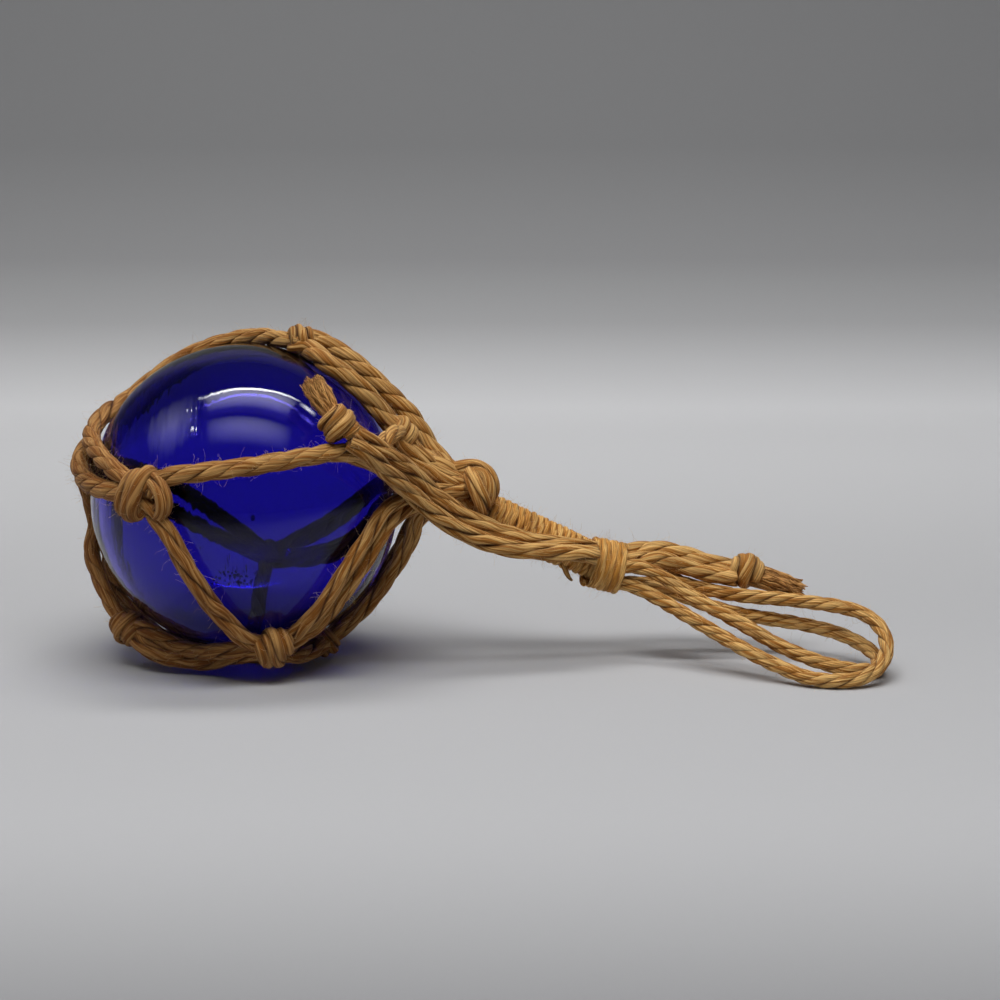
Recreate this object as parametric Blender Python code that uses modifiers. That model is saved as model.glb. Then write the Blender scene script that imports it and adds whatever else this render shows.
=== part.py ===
"""Small glass float ball in a knotted jute net, lying on its side with its hanging loops laid out.

Frame: metres, +Z up, the floor at Z = 0. The ball's centre stands over the origin, +X runs along
the tail of the net towards the hanging loops, and -Y is the front.

A place on the ball is given as a bearing and a height in degrees: bearing 0 is +X, bearing 90 is
the front (-Y), and height is the latitude above the ball's own equator.
"""
import math

import bmesh
import bpy
from mathutils import Matrix, Vector

MM = 0.001

# Driving dimensions
BALL_DIAMETER = 75.0 * MM
BALL_LIFT = 41.2 * MM            # centre of the ball above the floor, riding on the cords below it
NET_CORD = 4.2 * MM              # diameter of the loosely laid cord of the net
LOOP_CORD = 3.7 * MM             # diameter of the same cord, pulled tighter, in the loops and ends
GAP = 0.3 * MM                   # gap that touching pieces keep
WHIPPING_TURNS = 14
SEIZING_TURNS = 6
HITCH_TURNS = 2
CORD_STEP = 6.2 * MM             # distance between the rings of a cord's tube
BEND_STEP = 4.6 * MM             # the same in the hanging loops, which bend tighter

BALL_RADIUS = BALL_DIAMETER / 2
BALL_CENTRE = Vector((0.0, 0.0, BALL_LIFT))
RIDE = BALL_RADIUS + GAP + NET_CORD / 2   # radius at which a cord's centreline rides on the glass

COLLECTION = "glass_float_ball"
CUTTERS = "cutters"

JUTE = (0.42, 0.23, 0.075, 1.0)
JUTE_DARK = (0.30, 0.15, 0.05, 1.0)
TWINE_COLOUR = (0.46, 0.27, 0.10, 1.0)
COBALT = (0.012, 0.012, 0.32, 1.0)


def at(x, y, z):
    """Return a point given in millimetres."""
    return Vector((x, y, z)) * MM


def ball(bearing, height, layer=0.0):
    """Return a point on the ball, where a cord rides on the glass, or higher by layer millimetres."""
    turn = math.radians(bearing)
    tilt = math.radians(height)
    outward = Vector((math.cos(tilt) * math.cos(turn), -math.cos(tilt) * math.sin(turn), math.sin(tilt)))
    return BALL_CENTRE + outward * (RIDE + layer * MM)


# Knots of the net: centre, axis of the turns, length along the axis, height and depth across it (mm)
NET_KNOTS = {
    "front_left": (ball(124, 10, 0.6), ball(112, 12) - ball(134, 8), 7.4, 14.0, 7.6),
    "front_bottom": (ball(70, -54, 0.6), ball(58, -54) - ball(82, -54), 11.0, 11.4, 8.8),
    "right_bottom": (at(19.5, 0.5, 4.8), at(26, 0, 8) - at(15, -4, 3), 7.0, 7.4, 7.0),
    "left_bottom": (at(-28.4, -6.0, 9.6), at(-24, -8, 7) - at(-31, -4, 15), 9.6, 9.4, 8.8),
    "top": (at(14.3, 2.5, 81.0), at(18, 3, 80) - at(9, 3, 82), 8.0, 7.2, 7.0),
    "neck": (at(38.6, -3.6, 57.4), at(42, -3, 52) - at(36, -5, 61), 8.0, 8.4, 7.4),
    "back": (ball(275, -34, 0.4), ball(283, -30) - ball(267, -38), 8.6, 10.0, 8.0),
}

# Cords of the net. Each is a hand-chosen route; the cords meet inside the knots and at the neck.
NET_ROUTES = {
    "front": [ball(124, 10), ball(113, 15.5), ball(99, 18), ball(82, 20), ball(64, 22), ball(47, 22.5),
              ball(34, 18), at(37, -15, 50), at(41, -10.5, 45.5), at(47, -6, 43), at(54, -2, 43.5)],
    "front_fall": [ball(121, 8), ball(112, 0), ball(106, -12), ball(101, -23), ball(96, -32),
                   ball(90, -42), ball(82, -49), ball(70, -54)],
    "neck_fall_left": [at(53, -3, 43.5), at(45, -8, 44), at(38.5, -13.5, 43.5), ball(31, -1), ball(38, -8),
                       ball(45, -17), ball(49, -27), ball(53, -37), ball(59, -46), ball(68, -53)],
    "neck_fall_right": [at(53, -2, 42), at(45.5, -6, 40.5), at(39.5, -10.5, 39), ball(24, -8),
                        ball(32, -15), ball(39, -24), ball(42, -32), ball(45, -41), ball(52, -51),
                        ball(66, -57)],
    "back_fall_near": [at(51, 0, 41.5), at(46, 3, 38.5), at(42.2, 4, 34.8), at(40.4, 4, 30.2),
                       at(37.4, 3.6, 24.6), at(33.2, 2.8, 18.4), at(27.6, 1.6, 11.8), at(20, 0.6, 5.2)],
    "back_fall_far": [at(50, 2, 42), at(45, 6.5, 38), at(41, 8.2, 34), at(38.8, 8.2, 29.6), at(36, 7.8, 24),
                      at(32, 7, 18), at(26.6, 5.6, 11.6), at(19.5, 2, 5.4)],
    "left_rise_near": [at(-38.8, -4.6, 49), ball(185, 4), ball(191, -4), ball(191, -13), at(-38.9, 4, 27.2),
                       at(-36.6, 0.6, 21.4), at(-33.2, -3.2, 15.4), at(-29.4, -5.6, 10.6)],
    "left_rise_far": [at(-38.6, -2.4, 48), ball(194, 2), ball(200, -8), ball(197, -19), ball(190, -30),
                      ball(182, -40), ball(173, -49), ball(161, -55), ball(149, -58)],
    "bottom_inner": [at(-28, -6.5, 10), ball(155, -51), ball(148, -57), ball(134, -61), ball(117, -61),
                     ball(102, -57.5), ball(88, -55), ball(72, -54)],
    "bottom_outer": [at(-28, -7.5, 9), at(-24, -11.5, 6.2), at(-19.5, -13, 4.4), at(-14.5, -13.6, 3.5),
                     at(-10, -14.8, 3.2), at(-5, -17, 4.3), at(0, -20, 6.1), at(6, -22.4, 7.9)],
    "bottom_link": [at(8.5, -20.5, 7.2), at(12.5, -15, 4.9), at(16, -9, 4.3), at(19.3, -1, 4.7)],
    "under_front": [at(-27.5, -4, 8.6), ball(170, -60), ball(162, -70), ball(150, -79), ball(90, -89.5),
                    ball(40, -79), ball(24, -70), at(18.8, 0.4, 4.6)],
    "under_back": [ball(275, -34), ball(272, -50), ball(272, -66), ball(270, -79), ball(318, -84.5),
                   ball(2, -76), at(18.8, 1.2, 4.7)],
    "top_left": [at(14, 2.5, 81), ball(322, 74), ball(286, 73), ball(260, 69.5), ball(241, 63), ball(227, 55),
                 ball(216, 45), ball(206, 35), at(-34.4, 4, 61.2), at(-36.2, -3, 58.7), at(-35.6, -10, 56.4),
                 ball(150, 20), ball(143, 18), ball(134, 15.5), ball(126, 12)],
    "left_bight": [at(-36, -3, 55.4), at(-38.4, -2.6, 53.2), at(-39.4, -5, 50.4), at(-37.8, -10.6, 48.2),
                   at(-35, -17.6, 47.6), ball(143, 9), ball(134, 9), ball(125, 9)],
    "top_fall": [at(13.5, -1, 79.8), ball(8, 65), ball(357, 57), ball(354, 49), ball(354, 41), ball(355, 33),
                 ball(357, 27), at(38.6, -3.6, 57.4)],
    "top_outer": [at(12.5, 2.5, 81.6), at(17, 3, 80.8), at(21.4, 4, 78.4), at(26, 4, 75.8), at(30.4, 4, 72.4),
                  at(35, 4, 68.1), at(39, 4, 64.1), at(42, 3.8, 60.6), at(43.6, 3, 57.2), at(45.9, 1.8, 53.2),
                  at(49, 0, 49.4), at(53.0, -0.8, 45.0)],
    "neck_link": [at(38.6, -3.6, 57.4), at(41.9, -4.4, 53.4), at(45.6, -3.8, 49.6), at(50, -2.6, 46.6),
                  at(54, -1.4, 44.6)],
    "neck_tuck": [at(33.4, -19.4, 55.4), at(35.4, -14.4, 57.6), at(37.4, -8.6, 58.4), at(38.8, -3.8, 57.4)],
    "back_left": [ball(275, -34), ball(260, -22), ball(241, -8), ball(222, 2), ball(204, 9), ball(190, 12),
                  at(-38.6, -2.5, 50.5)],
    "back_right": [ball(275, -34), ball(288, -27), ball(302, -19), ball(321, -7), ball(336, 0),
                   at(41.6, 9.6, 43), at(47.5, 3.6, 44), at(54, 0, 44)],
}
FRONT_FALL_CORD = 5.0 * MM       # the front fall's cord has opened its lay, so it is thicker

# Strands gathered from the neck into the tail, with their radius (mm)
CORE_ROUTE = [at(42, -1.5, 50), at(48, -1, 46.6), at(54, 0.6, 41.2), at(60.4, 3.0, 35.9),
              at(70, 5.0, 31.0), at(79, 6.4, 26.6), at(84.5, 6.2, 24.4), at(88.4, 6.0, 23.4)]
CORE_RADII = [4.2, 4.6, 4.0, 3.2, 2.9, 2.8, 2.8, 2.6]

# Turns wound round the strands: ends of the axis, and the outer radius at its start and its end
WHIPPING_AXIS = (at(57.9, 2.6, 36.9), at(82.4, 7.2, 24.7))
WHIPPING_RADII = (5.5 * MM, 4.9 * MM)
SEIZING_AXIS = (at(84.4, 3.9, 24.4), at(92.4, 5.1, 22.3))
SEIZING_RADII = (6.4 * MM, 6.6 * MM)
HITCH_AXIS = (at(50.8, -0.8, 45.6), at(57.2, 0.6, 41.6))
HITCH_RADII = (6.0 * MM, 6.4 * MM)

# Free ends and loops: hand-chosen routes
FRONT_END_UPPER = [at(28.4, -27.0, 61.2), at(33.2, -24.6, 57.6), at(37.8, -19.8, 53.6), at(42.2, -14.8, 48.8),
                   at(46.0, -11.8, 44.4), at(50.0, -9.8, 40.8), at(54.1, -8.3, 37.9), at(58.5, -6.7, 35.4),
                   at(63.3, -5.0, 33.2), at(68.2, -3.7, 31.5), at(73.4, -2.6, 30.3), at(78.5, -1.5, 29.3),
                   at(82.6, -0.4, 28.6), at(85.8, 1.0, 27.7)]
FRONT_END_LOWER = [at(27.8, -30.6, 59.8), at(32.2, -29.0, 55.9), at(36.2, -23.8, 51.0), at(40.4, -18.8, 46.2),
                   at(45.0, -15.0, 41.1), at(49.4, -13.0, 37.3), at(53.9, -11.6, 34.4), at(58.5, -10.2, 32.1),
                   at(63.3, -8.9, 30.4), at(68.2, -7.7, 29.3), at(73.3, -6.6, 28.8), at(78.4, -5.6, 28.3),
                   at(82.5, -4.6, 28.0), at(85.7, -3.0, 27.0)]
FRONT_KNOT = (at(24.8, -27.6, 64.0), at(28.2, -27, 60) - at(23, -27, 68), 9.0, 9.6, 9.0)
FRONT_BRUSH = [at(25, -27.6, 64), at(23.4, -27.4, 67.6), at(21.7, -25.6, 71.6), at(20.2, -23.4, 74.9)]
FRONT_BRUSH_RADII = [2.2, 2.5, 3.0, 2.6]

REAR_END_UPPER = [at(91.6, 8.7, 25.9), at(97.3, 10.9, 25.8), at(102.8, 12.3, 25.6), at(107.9, 12.7, 24.6),
                  at(112.4, 12.4, 23.2), at(116.4, 11.9, 22.0), at(121.4, 11.2, 21.2)]
REAR_END_LOWER = [at(91.6, 4.9, 24.4), at(97.2, 6.9, 24.1), at(101.8, 8.4, 23.9), at(106.8, 8.9, 22.6),
                  at(111.6, 8.6, 21.1), at(116.1, 8.1, 19.9), at(121.4, 7.4, 19.4)]
REAR_KNOT = (at(124.3, 9.4, 20.6), at(128, 9.4, 20.0) - at(120.6, 9.4, 21), 6.6, 9.4, 8.8)
REAR_TAIL = [at(124.6, 9.4, 20.4), at(129.2, 9.5, 19.4), at(133.8, 9.7, 17.6), at(138.4, 9.9, 15.6)]
REAR_TAIL_RADII = [2.2, 2.5, 2.2, 1.1]

LOOP_FRONT = [at(91.6, 2.5, 19.5), at(97, 1.0, 17.9), at(104.1, -3.7, 14.8), at(109.3, -7.7, 12.3),
              at(118.6, -14.6, 8.0), at(124.8, -19.2, 5.4), at(131.5, -23.6, 3.1), at(136.4, -26.6, 2.1),
              at(142, -27.9, 1.9), at(147, -27.3, 2.2), at(151.4, -24.8, 3.5), at(154.4, -20.6, 5.8),
              at(155.4, -15.6, 8.6), at(154.2, -10.4, 11.5), at(151, -5.8, 13.3), at(146.4, -2.2, 14.1),
              at(139.3, 1.0, 14.6), at(132.2, 3.0, 15.0), at(124.6, 4.4, 15.3), at(117.7, 6.2, 15.9),
              at(109.8, 8.6, 17.3), at(103.6, 9.9, 19.4), at(97.3, 10.3, 21.5), at(91.6, 8.9, 22.1)]
LOOP_BACK = [at(91.6, 0.9, 23.6), at(96.6, 1.4, 23.6), at(102, -0.2, 21.5), at(109.4, -4.2, 17.3),
             at(116.3, -8.4, 14.0), at(120.8, -10.8, 12.0), at(127.8, -14.8, 8.5), at(132.6, -17.2, 6.5),
             at(139.4, -20, 4.4), at(145.3, -20.8, 3.1), at(150, -19.4, 2.3), at(153.1, -16.0, 2.0),
             at(154.4, -11.2, 2.6), at(153.2, -6.0, 4.0), at(150.1, -1.6, 5.4), at(145, 2.2, 6.9),
             at(137.4, 4.6, 8.3), at(129.7, 5.3, 9.4), at(120, 4.9, 11.2), at(112.2, 4.7, 13.7),
             at(105.7, 5.1, 16.2), at(98.5, 6.0, 18.2), at(91.6, 6.7, 18.2)]


def clear_scene():
    """Remove every object of the open file."""
    for item in list(bpy.data.objects):
        bpy.data.objects.remove(item, do_unlink=True)


def new_collection(name):
    """Make a collection under the scene's own."""
    collection = bpy.data.collections.new(name)
    bpy.context.scene.collection.children.link(collection)
    return collection


def make_material(name, colour, roughness, transmission=0.0):
    """Make a plain Principled material."""
    material = bpy.data.materials.new(name)
    material.use_nodes = True
    shader = material.node_tree.nodes["Principled BSDF"]
    shader.inputs["Base Color"].default_value = colour
    shader.inputs["Roughness"].default_value = roughness
    shader.inputs["Metallic"].default_value = 0.0
    shader.inputs["Transmission Weight"].default_value = transmission
    material.diffuse_color = colour
    return material


def smooth_route(points, step, radii=None):
    """Walk a Catmull-Rom curve through the points; return evenly spaced (point, radius) samples."""
    radii = radii or [1.0] * len(points)
    ends = [points[0] * 2 - points[1]] + list(points) + [points[-1] * 2 - points[-2]]
    fine = []
    steps = 12
    for i in range(1, len(ends) - 2):
        a, b, c, d = ends[i - 1:i + 3]
        for k in range(steps):
            t = k / steps
            place = (b * 2 + (c - a) * t + (a * 2 - b * 5 + c * 4 - d) * t ** 2
                     + (b * 3 - a - c * 3 + d) * t ** 3) / 2
            fine.append((place, radii[i - 1] * (1 - t) + radii[i] * t))
    fine.append((points[-1], radii[-1]))
    travelled = [0.0]
    for (before, _), (after, _) in zip(fine, fine[1:]):
        travelled.append(travelled[-1] + (after - before).length)
    count = max(2, round(travelled[-1] / step))
    samples = []
    j = 0
    for i in range(count + 1):
        want = travelled[-1] * i / count
        while j < len(fine) - 2 and travelled[j + 1] < want:
            j += 1
        span = travelled[j + 1] - travelled[j]
        t = (want - travelled[j]) / span if span else 0.0
        samples.append((fine[j][0].lerp(fine[j + 1][0], t), fine[j][1] * (1 - t) + fine[j + 1][1] * t))
    return samples


def add_tube(name, route, radius, collection, step=CORD_STEP, sides_level=2, radii=None):
    """Add a capped tube along a route; radii, if given, scale the radius along it."""
    samples = smooth_route(route, step, radii)
    curve = bpy.data.curves.new(name, "CURVE")
    curve.dimensions = "3D"
    curve.bevel_depth = radius
    curve.bevel_resolution = sides_level
    curve.use_fill_caps = True
    spline = curve.splines.new("POLY")
    spline.points.add(len(samples) - 1)
    for point, (place, scale) in zip(spline.points, samples):
        point.co = (*place, 1.0)
        point.radius = scale
    tube = bpy.data.objects.new(name, curve)
    collection.objects.link(tube)
    return tube


def as_mesh(source, name=None):
    """Replace a curve object by its welded mesh."""
    depsgraph = bpy.context.evaluated_depsgraph_get()
    mesh = bpy.data.meshes.new_from_object(source.evaluated_get(depsgraph))
    welded = bmesh.new()
    welded.from_mesh(mesh)
    bmesh.ops.remove_doubles(welded, verts=welded.verts, dist=0.01 * MM)
    bmesh.ops.recalc_face_normals(welded, faces=welded.faces)
    welded.to_mesh(mesh)
    welded.free()
    solid = bpy.data.objects.new(name or source.name, mesh)
    solid.matrix_world = source.matrix_world
    for collection in source.users_collection:
        collection.objects.link(solid)
    label = source.name
    bpy.data.objects.remove(source, do_unlink=True)
    solid.name = name or label
    return solid


def axis_matrix(centre, axis, outward):
    """Return a frame with Z along the axis and Y as near to outward as can be."""
    z = axis.normalized()
    x = outward.cross(z).normalized()
    y = z.cross(x)
    frame = Matrix((x, y, z)).transposed().to_4x4()
    frame.translation = centre
    return frame


def add_turned(name, outline, frame, collection, steps):
    """Turn an outline of (radius, height) points, listed top to bottom, about the frame's Z axis."""
    mesh = bpy.data.meshes.new(name)
    points = [(r, 0.0, h) for r, h in outline]
    edges = [(i, i + 1) for i in range(len(points) - 1)]
    mesh.from_pydata(points, edges, [])
    turned = bpy.data.objects.new(name, mesh)
    turned.matrix_world = frame
    collection.objects.link(turned)
    screw = turned.modifiers.new("turn", "SCREW")
    screw.axis = "Z"
    screw.angle = math.tau
    screw.steps = steps
    screw.render_steps = steps
    screw.use_merge_vertices = True
    screw.merge_threshold = 0.00001
    return turned


def knot_outline(length, radius, turns, points_per_turn=3):
    """Return the profile of a knot: rounded turns of cord side by side, closed on the axis."""
    count = turns * points_per_turn
    outline = [(0.0, length / 2)]
    for i in range(1, count):
        t = i / count
        dome = math.sqrt(max(0.0, 1.0 - (2.0 * t - 1.0) ** 2)) ** 0.6
        ridge = 0.86 + 0.14 * abs(math.sin(math.pi * turns * t))
        outline.append((radius * dome * ridge, length * (0.5 - t)))
    outline.append((0.0, -length / 2))
    return outline


def add_knot(name, place, collection, turns=3):
    """Add one knot: a lump of cord turns, squashed to its height and depth."""
    centre, axis, length, height, depth = place
    outward = centre - BALL_CENTRE
    frame = axis_matrix(centre, axis, outward)
    squash = Matrix.Diagonal((height / 2 * MM, depth / 2 * MM, 1.0, 1.0))
    knot = add_turned(name, knot_outline(length * MM, 1.0, turns), frame, collection, 10)
    return bake(knot, frame, squash)


def bake(source, frame, squash):
    """Freeze an object's modifiers and its squash into its mesh, placed in world space."""
    source.matrix_world = Matrix.Identity(4)
    bpy.context.view_layer.update()
    solid = as_mesh(source)
    solid.data.transform(frame @ squash)
    faces = bmesh.new()
    faces.from_mesh(solid.data)
    bmesh.ops.recalc_face_normals(faces, faces=faces.faces)
    faces.to_mesh(solid.data)
    faces.free()
    return solid


def wrap_outline(length, radii, turns, points_per_turn):
    """Return the profile of a band wound of round turns, listed top to bottom and closed on the axis."""
    first, last = radii
    groove = min(first * 0.12, length / turns * 0.4)
    count = turns * points_per_turn
    outline = [(0.0, length / 2)]
    for i in range(count + 1):
        t = i / count
        ridge = abs(math.sin(math.pi * turns * t))
        outline.append((last * (1.0 - t) + first * t - groove * (1.0 - ridge), length * (0.5 - t)))
    outline.append((0.0, -length / 2))
    return outline


def add_wrap(name, axis, radii, turns, collection, points_per_turn=2, steps=11):
    """Add a band of wound turns about the line between two points."""
    start, end = axis
    length = (end - start).length
    frame = axis_matrix((start + end) / 2, end - start, Vector((0.0, 0.0, 1.0)))
    wrap = add_turned(name, wrap_outline(length, radii, turns, points_per_turn), frame, collection, steps)
    return bake(wrap, frame, Matrix.Identity(4))


def boolean(target, tool, operation):
    """Join or cut a mesh object with another, and drop the tool's own object."""
    change = target.modifiers.new(operation.lower(), "BOOLEAN")
    change.operation = operation
    change.solver = "EXACT"
    change.object = tool
    bpy.context.view_layer.update()
    depsgraph = bpy.context.evaluated_depsgraph_get()
    result = bpy.data.meshes.new_from_object(target.evaluated_get(depsgraph))
    target.modifiers.clear()
    old = target.data
    target.data = result
    bpy.data.meshes.remove(old)
    bpy.data.objects.remove(tool, do_unlink=True)


def tidy(target, weld=0.01 * MM):
    """Weld the slivers that joins leave behind."""
    mesh = bmesh.new()
    mesh.from_mesh(target.data)
    bmesh.ops.triangulate(mesh, faces=mesh.faces)
    bmesh.ops.remove_doubles(mesh, verts=mesh.verts, dist=weld)
    bmesh.ops.dissolve_degenerate(mesh, edges=mesh.edges, dist=weld)
    bmesh.ops.recalc_face_normals(mesh, faces=mesh.faces)
    mesh.to_mesh(target.data)
    mesh.free()


def add_ball(collection, glass):
    """Add the sealed glass ball."""
    bpy.ops.mesh.primitive_uv_sphere_add(segments=32, ring_count=16, radius=BALL_RADIUS, location=BALL_CENTRE)
    glass_ball = bpy.context.object
    glass_ball.name = "glass_ball"
    for owner in list(glass_ball.users_collection):
        owner.objects.unlink(glass_ball)
    collection.objects.link(glass_ball)
    finish(glass_ball, glass)
    return glass_ball


def finish(target, material):
    """Give a mesh or curve its material and smooth shading."""
    target.data.materials.clear()
    target.data.materials.append(material)
    if target.type == "MESH":
        target.data.shade_smooth()
        target.data.set_sharp_from_angle(angle=math.radians(50))


def ball_cutter(cutters):
    """Return a sphere that keeps the net clear of the glass."""
    bpy.ops.mesh.primitive_ico_sphere_add(subdivisions=4, radius=BALL_RADIUS + GAP * 0.85, location=BALL_CENTRE)
    return hide(bpy.context.object, cutters, "ball_clearance")


def floor_cutter(cutters):
    """Return a block below the floor, which flattens the cords that the ball rests on."""
    bpy.ops.mesh.primitive_cube_add(size=1.0, location=(0.0, 0.0, -5.0 * MM))
    block = hide(bpy.context.object, cutters, "floor_flat")
    block.data.transform(Matrix.Diagonal((150.0 * MM, 150.0 * MM, 10.0 * MM, 1.0)))
    return block


def hide(tool, cutters, name):
    """File a cutter in its own collection, drawn as wire and never rendered."""
    tool.name = name
    for owner in list(tool.users_collection):
        owner.objects.unlink(tool)
    cutters.objects.link(tool)
    tool.hide_render = True
    tool.display_type = "WIRE"
    return tool


def lengthened(route, amount):
    """Return a route that runs on straight past both its ends."""
    first = (route[0] - route[1]).normalized() * amount
    last = (route[-1] - route[-2]).normalized() * amount
    return [route[0] + first] + list(route[1:-1]) + [route[-1] + last]


def cut_clearance(target, route, radius, cutters, radii=None):
    """Cut the room of a cord, with the gap that touching pieces keep, out of a mesh."""
    room_radii = [r + GAP / radius for r in radii] if radii else None
    room_radius = radius if radii else radius + GAP
    room = as_mesh(add_tube("cord_room", lengthened(route, GAP), room_radius, cutters, radii=room_radii))
    boolean(target, hide(room, cutters, "cord_room"), "DIFFERENCE")


def add_net(collection, cutters, jute):
    """Join the net's cords and knots and the gathered strands of the tail into one knotted work."""
    net = as_mesh(add_tube("rope_net", CORE_ROUTE, MM, collection, radii=CORE_RADII))
    for name, route in NET_ROUTES.items():
        radius = (FRONT_FALL_CORD if name == "front_fall" else NET_CORD) / 2
        boolean(net, as_mesh(add_tube("cord_" + name, route, radius, cutters, sides_level=1)), "UNION")
    for name, place in NET_KNOTS.items():
        boolean(net, add_knot("knot_" + name, place, cutters), "UNION")
    boolean(net, add_wrap("neck_hitch", HITCH_AXIS, HITCH_RADII, HITCH_TURNS, cutters, 3), "UNION")
    boolean(net, ball_cutter(cutters), "DIFFERENCE")
    boolean(net, floor_cutter(cutters), "DIFFERENCE")
    for route in (FRONT_END_UPPER, FRONT_END_LOWER):
        cut_clearance(net, route, LOOP_CORD / 2, cutters)
    tidy(net)
    finish(net, jute)
    return net


def add_whipping(collection, cutters, twine):
    """Add the thin twine wound round the core of the tail."""
    whipping = add_wrap("whipping", WHIPPING_AXIS, WHIPPING_RADII, WHIPPING_TURNS, collection)
    cut_clearance(whipping, CORE_ROUTE, MM, cutters, CORE_RADII)
    tidy(whipping)
    finish(whipping, twine)
    return whipping


def add_seizing(collection, cutters, twine):
    """Add the band that binds the core, the free ends and the loops."""
    seizing = add_wrap("seizing", SEIZING_AXIS, SEIZING_RADII, SEIZING_TURNS, collection)
    cut_clearance(seizing, CORE_ROUTE, MM, cutters, CORE_RADII)
    for route in (FRONT_END_UPPER, FRONT_END_LOWER, REAR_END_UPPER, REAR_END_LOWER, LOOP_FRONT, LOOP_BACK):
        cut_clearance(seizing, route, LOOP_CORD / 2, cutters)
    tidy(seizing)
    finish(seizing, twine)
    return seizing


def add_end_knot(name, place, tail, tail_radii, strands, collection, cutters, jute):
    """Add the overhand knot that ends a pair of strands, with its frayed tail."""
    knot = add_knot(name, place, collection)
    boolean(knot, as_mesh(add_tube("frayed_tail", tail, MM, cutters, radii=tail_radii)), "UNION")
    for strand in strands:
        cut_clearance(knot, strand, LOOP_CORD / 2, cutters)
    tidy(knot)
    finish(knot, jute)
    return knot


def add_cord(name, route, collection, jute, step=CORD_STEP):
    """Add a free cord as a plain tube."""
    cord = add_tube(name, route, LOOP_CORD / 2, collection, step)
    finish(cord, jute)
    return cord


def main():
    """Build every piece of the float."""
    clear_scene()
    parts = new_collection(COLLECTION)
    cutters = new_collection(CUTTERS)
    glass = make_material("cobalt_glass", COBALT, 0.03, transmission=1.0)
    jute = make_material("jute_cord", JUTE, 0.9)
    frayed = make_material("jute_frayed", JUTE_DARK, 0.95)
    twine = make_material("jute_twine", TWINE_COLOUR, 0.9)

    add_ball(parts, glass)
    add_net(parts, cutters, jute)
    add_whipping(parts, cutters, twine)
    add_seizing(parts, cutters, twine)
    add_cord("hanging_loop_front", LOOP_FRONT, parts, jute, BEND_STEP)
    add_cord("hanging_loop_back", LOOP_BACK, parts, jute, BEND_STEP)
    add_cord("front_end_cord_upper", FRONT_END_UPPER, parts, jute)
    add_cord("front_end_cord_lower", FRONT_END_LOWER, parts, jute)
    add_end_knot("front_end_knot", FRONT_KNOT, FRONT_BRUSH, FRONT_BRUSH_RADII,
                 (FRONT_END_UPPER, FRONT_END_LOWER), parts, cutters, frayed)
    add_cord("rear_end_cord_upper", REAR_END_UPPER, parts, jute)
    add_cord("rear_end_cord_lower", REAR_END_LOWER, parts, jute)
    add_end_knot("rear_end_knot", REAR_KNOT, REAR_TAIL, REAR_TAIL_RADII,
                 (REAR_END_UPPER, REAR_END_LOWER), parts, cutters, frayed)


if __name__ == "__main__":
    main()
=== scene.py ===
"""Looks of a small glass float ball in a knotted jute net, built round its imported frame.

Frame: metres, +Z up, the floor at Z = 0. The ball's centre stands over the origin, +X runs along the
tail of the net towards the hanging loops, and -Y is the front.

The classes follow the float as its maker would: the glass, the laid cord, the net with its knots, the
tail with its whipping and seizing, the loops, the loose ends, and the fibres that stand off them all.
"""

import logging
import math
from dataclasses import dataclass, field
from enum import Enum
from typing import Any, ClassVar, Union

import bpy
import numpy as np
from mathutils import Matrix, Vector


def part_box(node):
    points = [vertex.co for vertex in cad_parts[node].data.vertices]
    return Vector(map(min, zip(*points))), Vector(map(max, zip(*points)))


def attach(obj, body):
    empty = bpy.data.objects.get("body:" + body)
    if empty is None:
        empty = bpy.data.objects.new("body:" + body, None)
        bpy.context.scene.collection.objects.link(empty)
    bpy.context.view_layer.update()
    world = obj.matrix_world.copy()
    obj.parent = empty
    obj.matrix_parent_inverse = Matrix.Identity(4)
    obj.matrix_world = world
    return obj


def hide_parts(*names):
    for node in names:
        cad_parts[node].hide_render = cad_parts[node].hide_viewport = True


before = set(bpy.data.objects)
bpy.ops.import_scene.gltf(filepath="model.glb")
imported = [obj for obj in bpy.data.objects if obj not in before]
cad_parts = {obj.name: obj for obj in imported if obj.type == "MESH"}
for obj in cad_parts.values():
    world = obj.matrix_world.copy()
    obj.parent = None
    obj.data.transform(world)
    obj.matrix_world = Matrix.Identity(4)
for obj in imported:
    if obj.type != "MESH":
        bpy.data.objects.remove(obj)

LOG = logging.getLogger("glass_float")
BODY = "root"
MM = 0.001
TAU = math.tau

Colour = tuple[float, float, float, float]
Triple = tuple[float, float, float]
Array = np.ndarray
Faces = list[tuple[int, ...]]
Material = bpy.types.Material
Piece = bpy.types.Object

BALL_LOW, BALL_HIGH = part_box("glass_ball")
BALL_RADIUS = (BALL_HIGH.z - BALL_LOW.z) / 2
BALL_CENTRE = (BALL_LOW + BALL_HIGH) / 2
NET_CORD = 4.2 * MM
LOOP_CORD = 3.7 * MM
GAP = 0.3 * MM
RIDE = BALL_RADIUS + GAP + NET_CORD / 2
OFF_GLASS = 0.05 * MM
OFF_FLOOR = 0.02 * MM
FIBRE_OFF_FLOOR = 0.05 * MM
SWAY = 1.6
SPAN_SAMPLES = 16
SMOOTHING_ROUNDS = 4
# painted shade: the middle of each ply's end cap counts this deep, so the jute finish darkens it
END_DEPTH = 0.3


def at(x: float, y: float, z: float) -> Vector:
    """Return a point given in millimetres."""
    return Vector((x, y, z)) * MM


def outward(bearing: float, height: float) -> tuple[float, float, float]:
    """Return the direction from the ball's centre at a bearing and a height in degrees."""
    turn, tilt = math.radians(bearing), math.radians(height)
    return math.cos(tilt) * math.cos(turn), -math.cos(tilt) * math.sin(turn), math.sin(tilt)


def ball(bearing: float, height: float, layer: float = 0.0) -> Vector:
    """Return a point where a cord rides on the glass.

    Args:
        bearing: degrees round the ball, 0 at +X and 90 at the front.
        height: degrees above the ball's equator.
        layer: millimetres above the place where a cord touches the glass.

    Returns:
        The point, in metres.
    """
    return BALL_CENTRE + Vector(outward(bearing, height)) * (RIDE + layer * MM)


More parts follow.
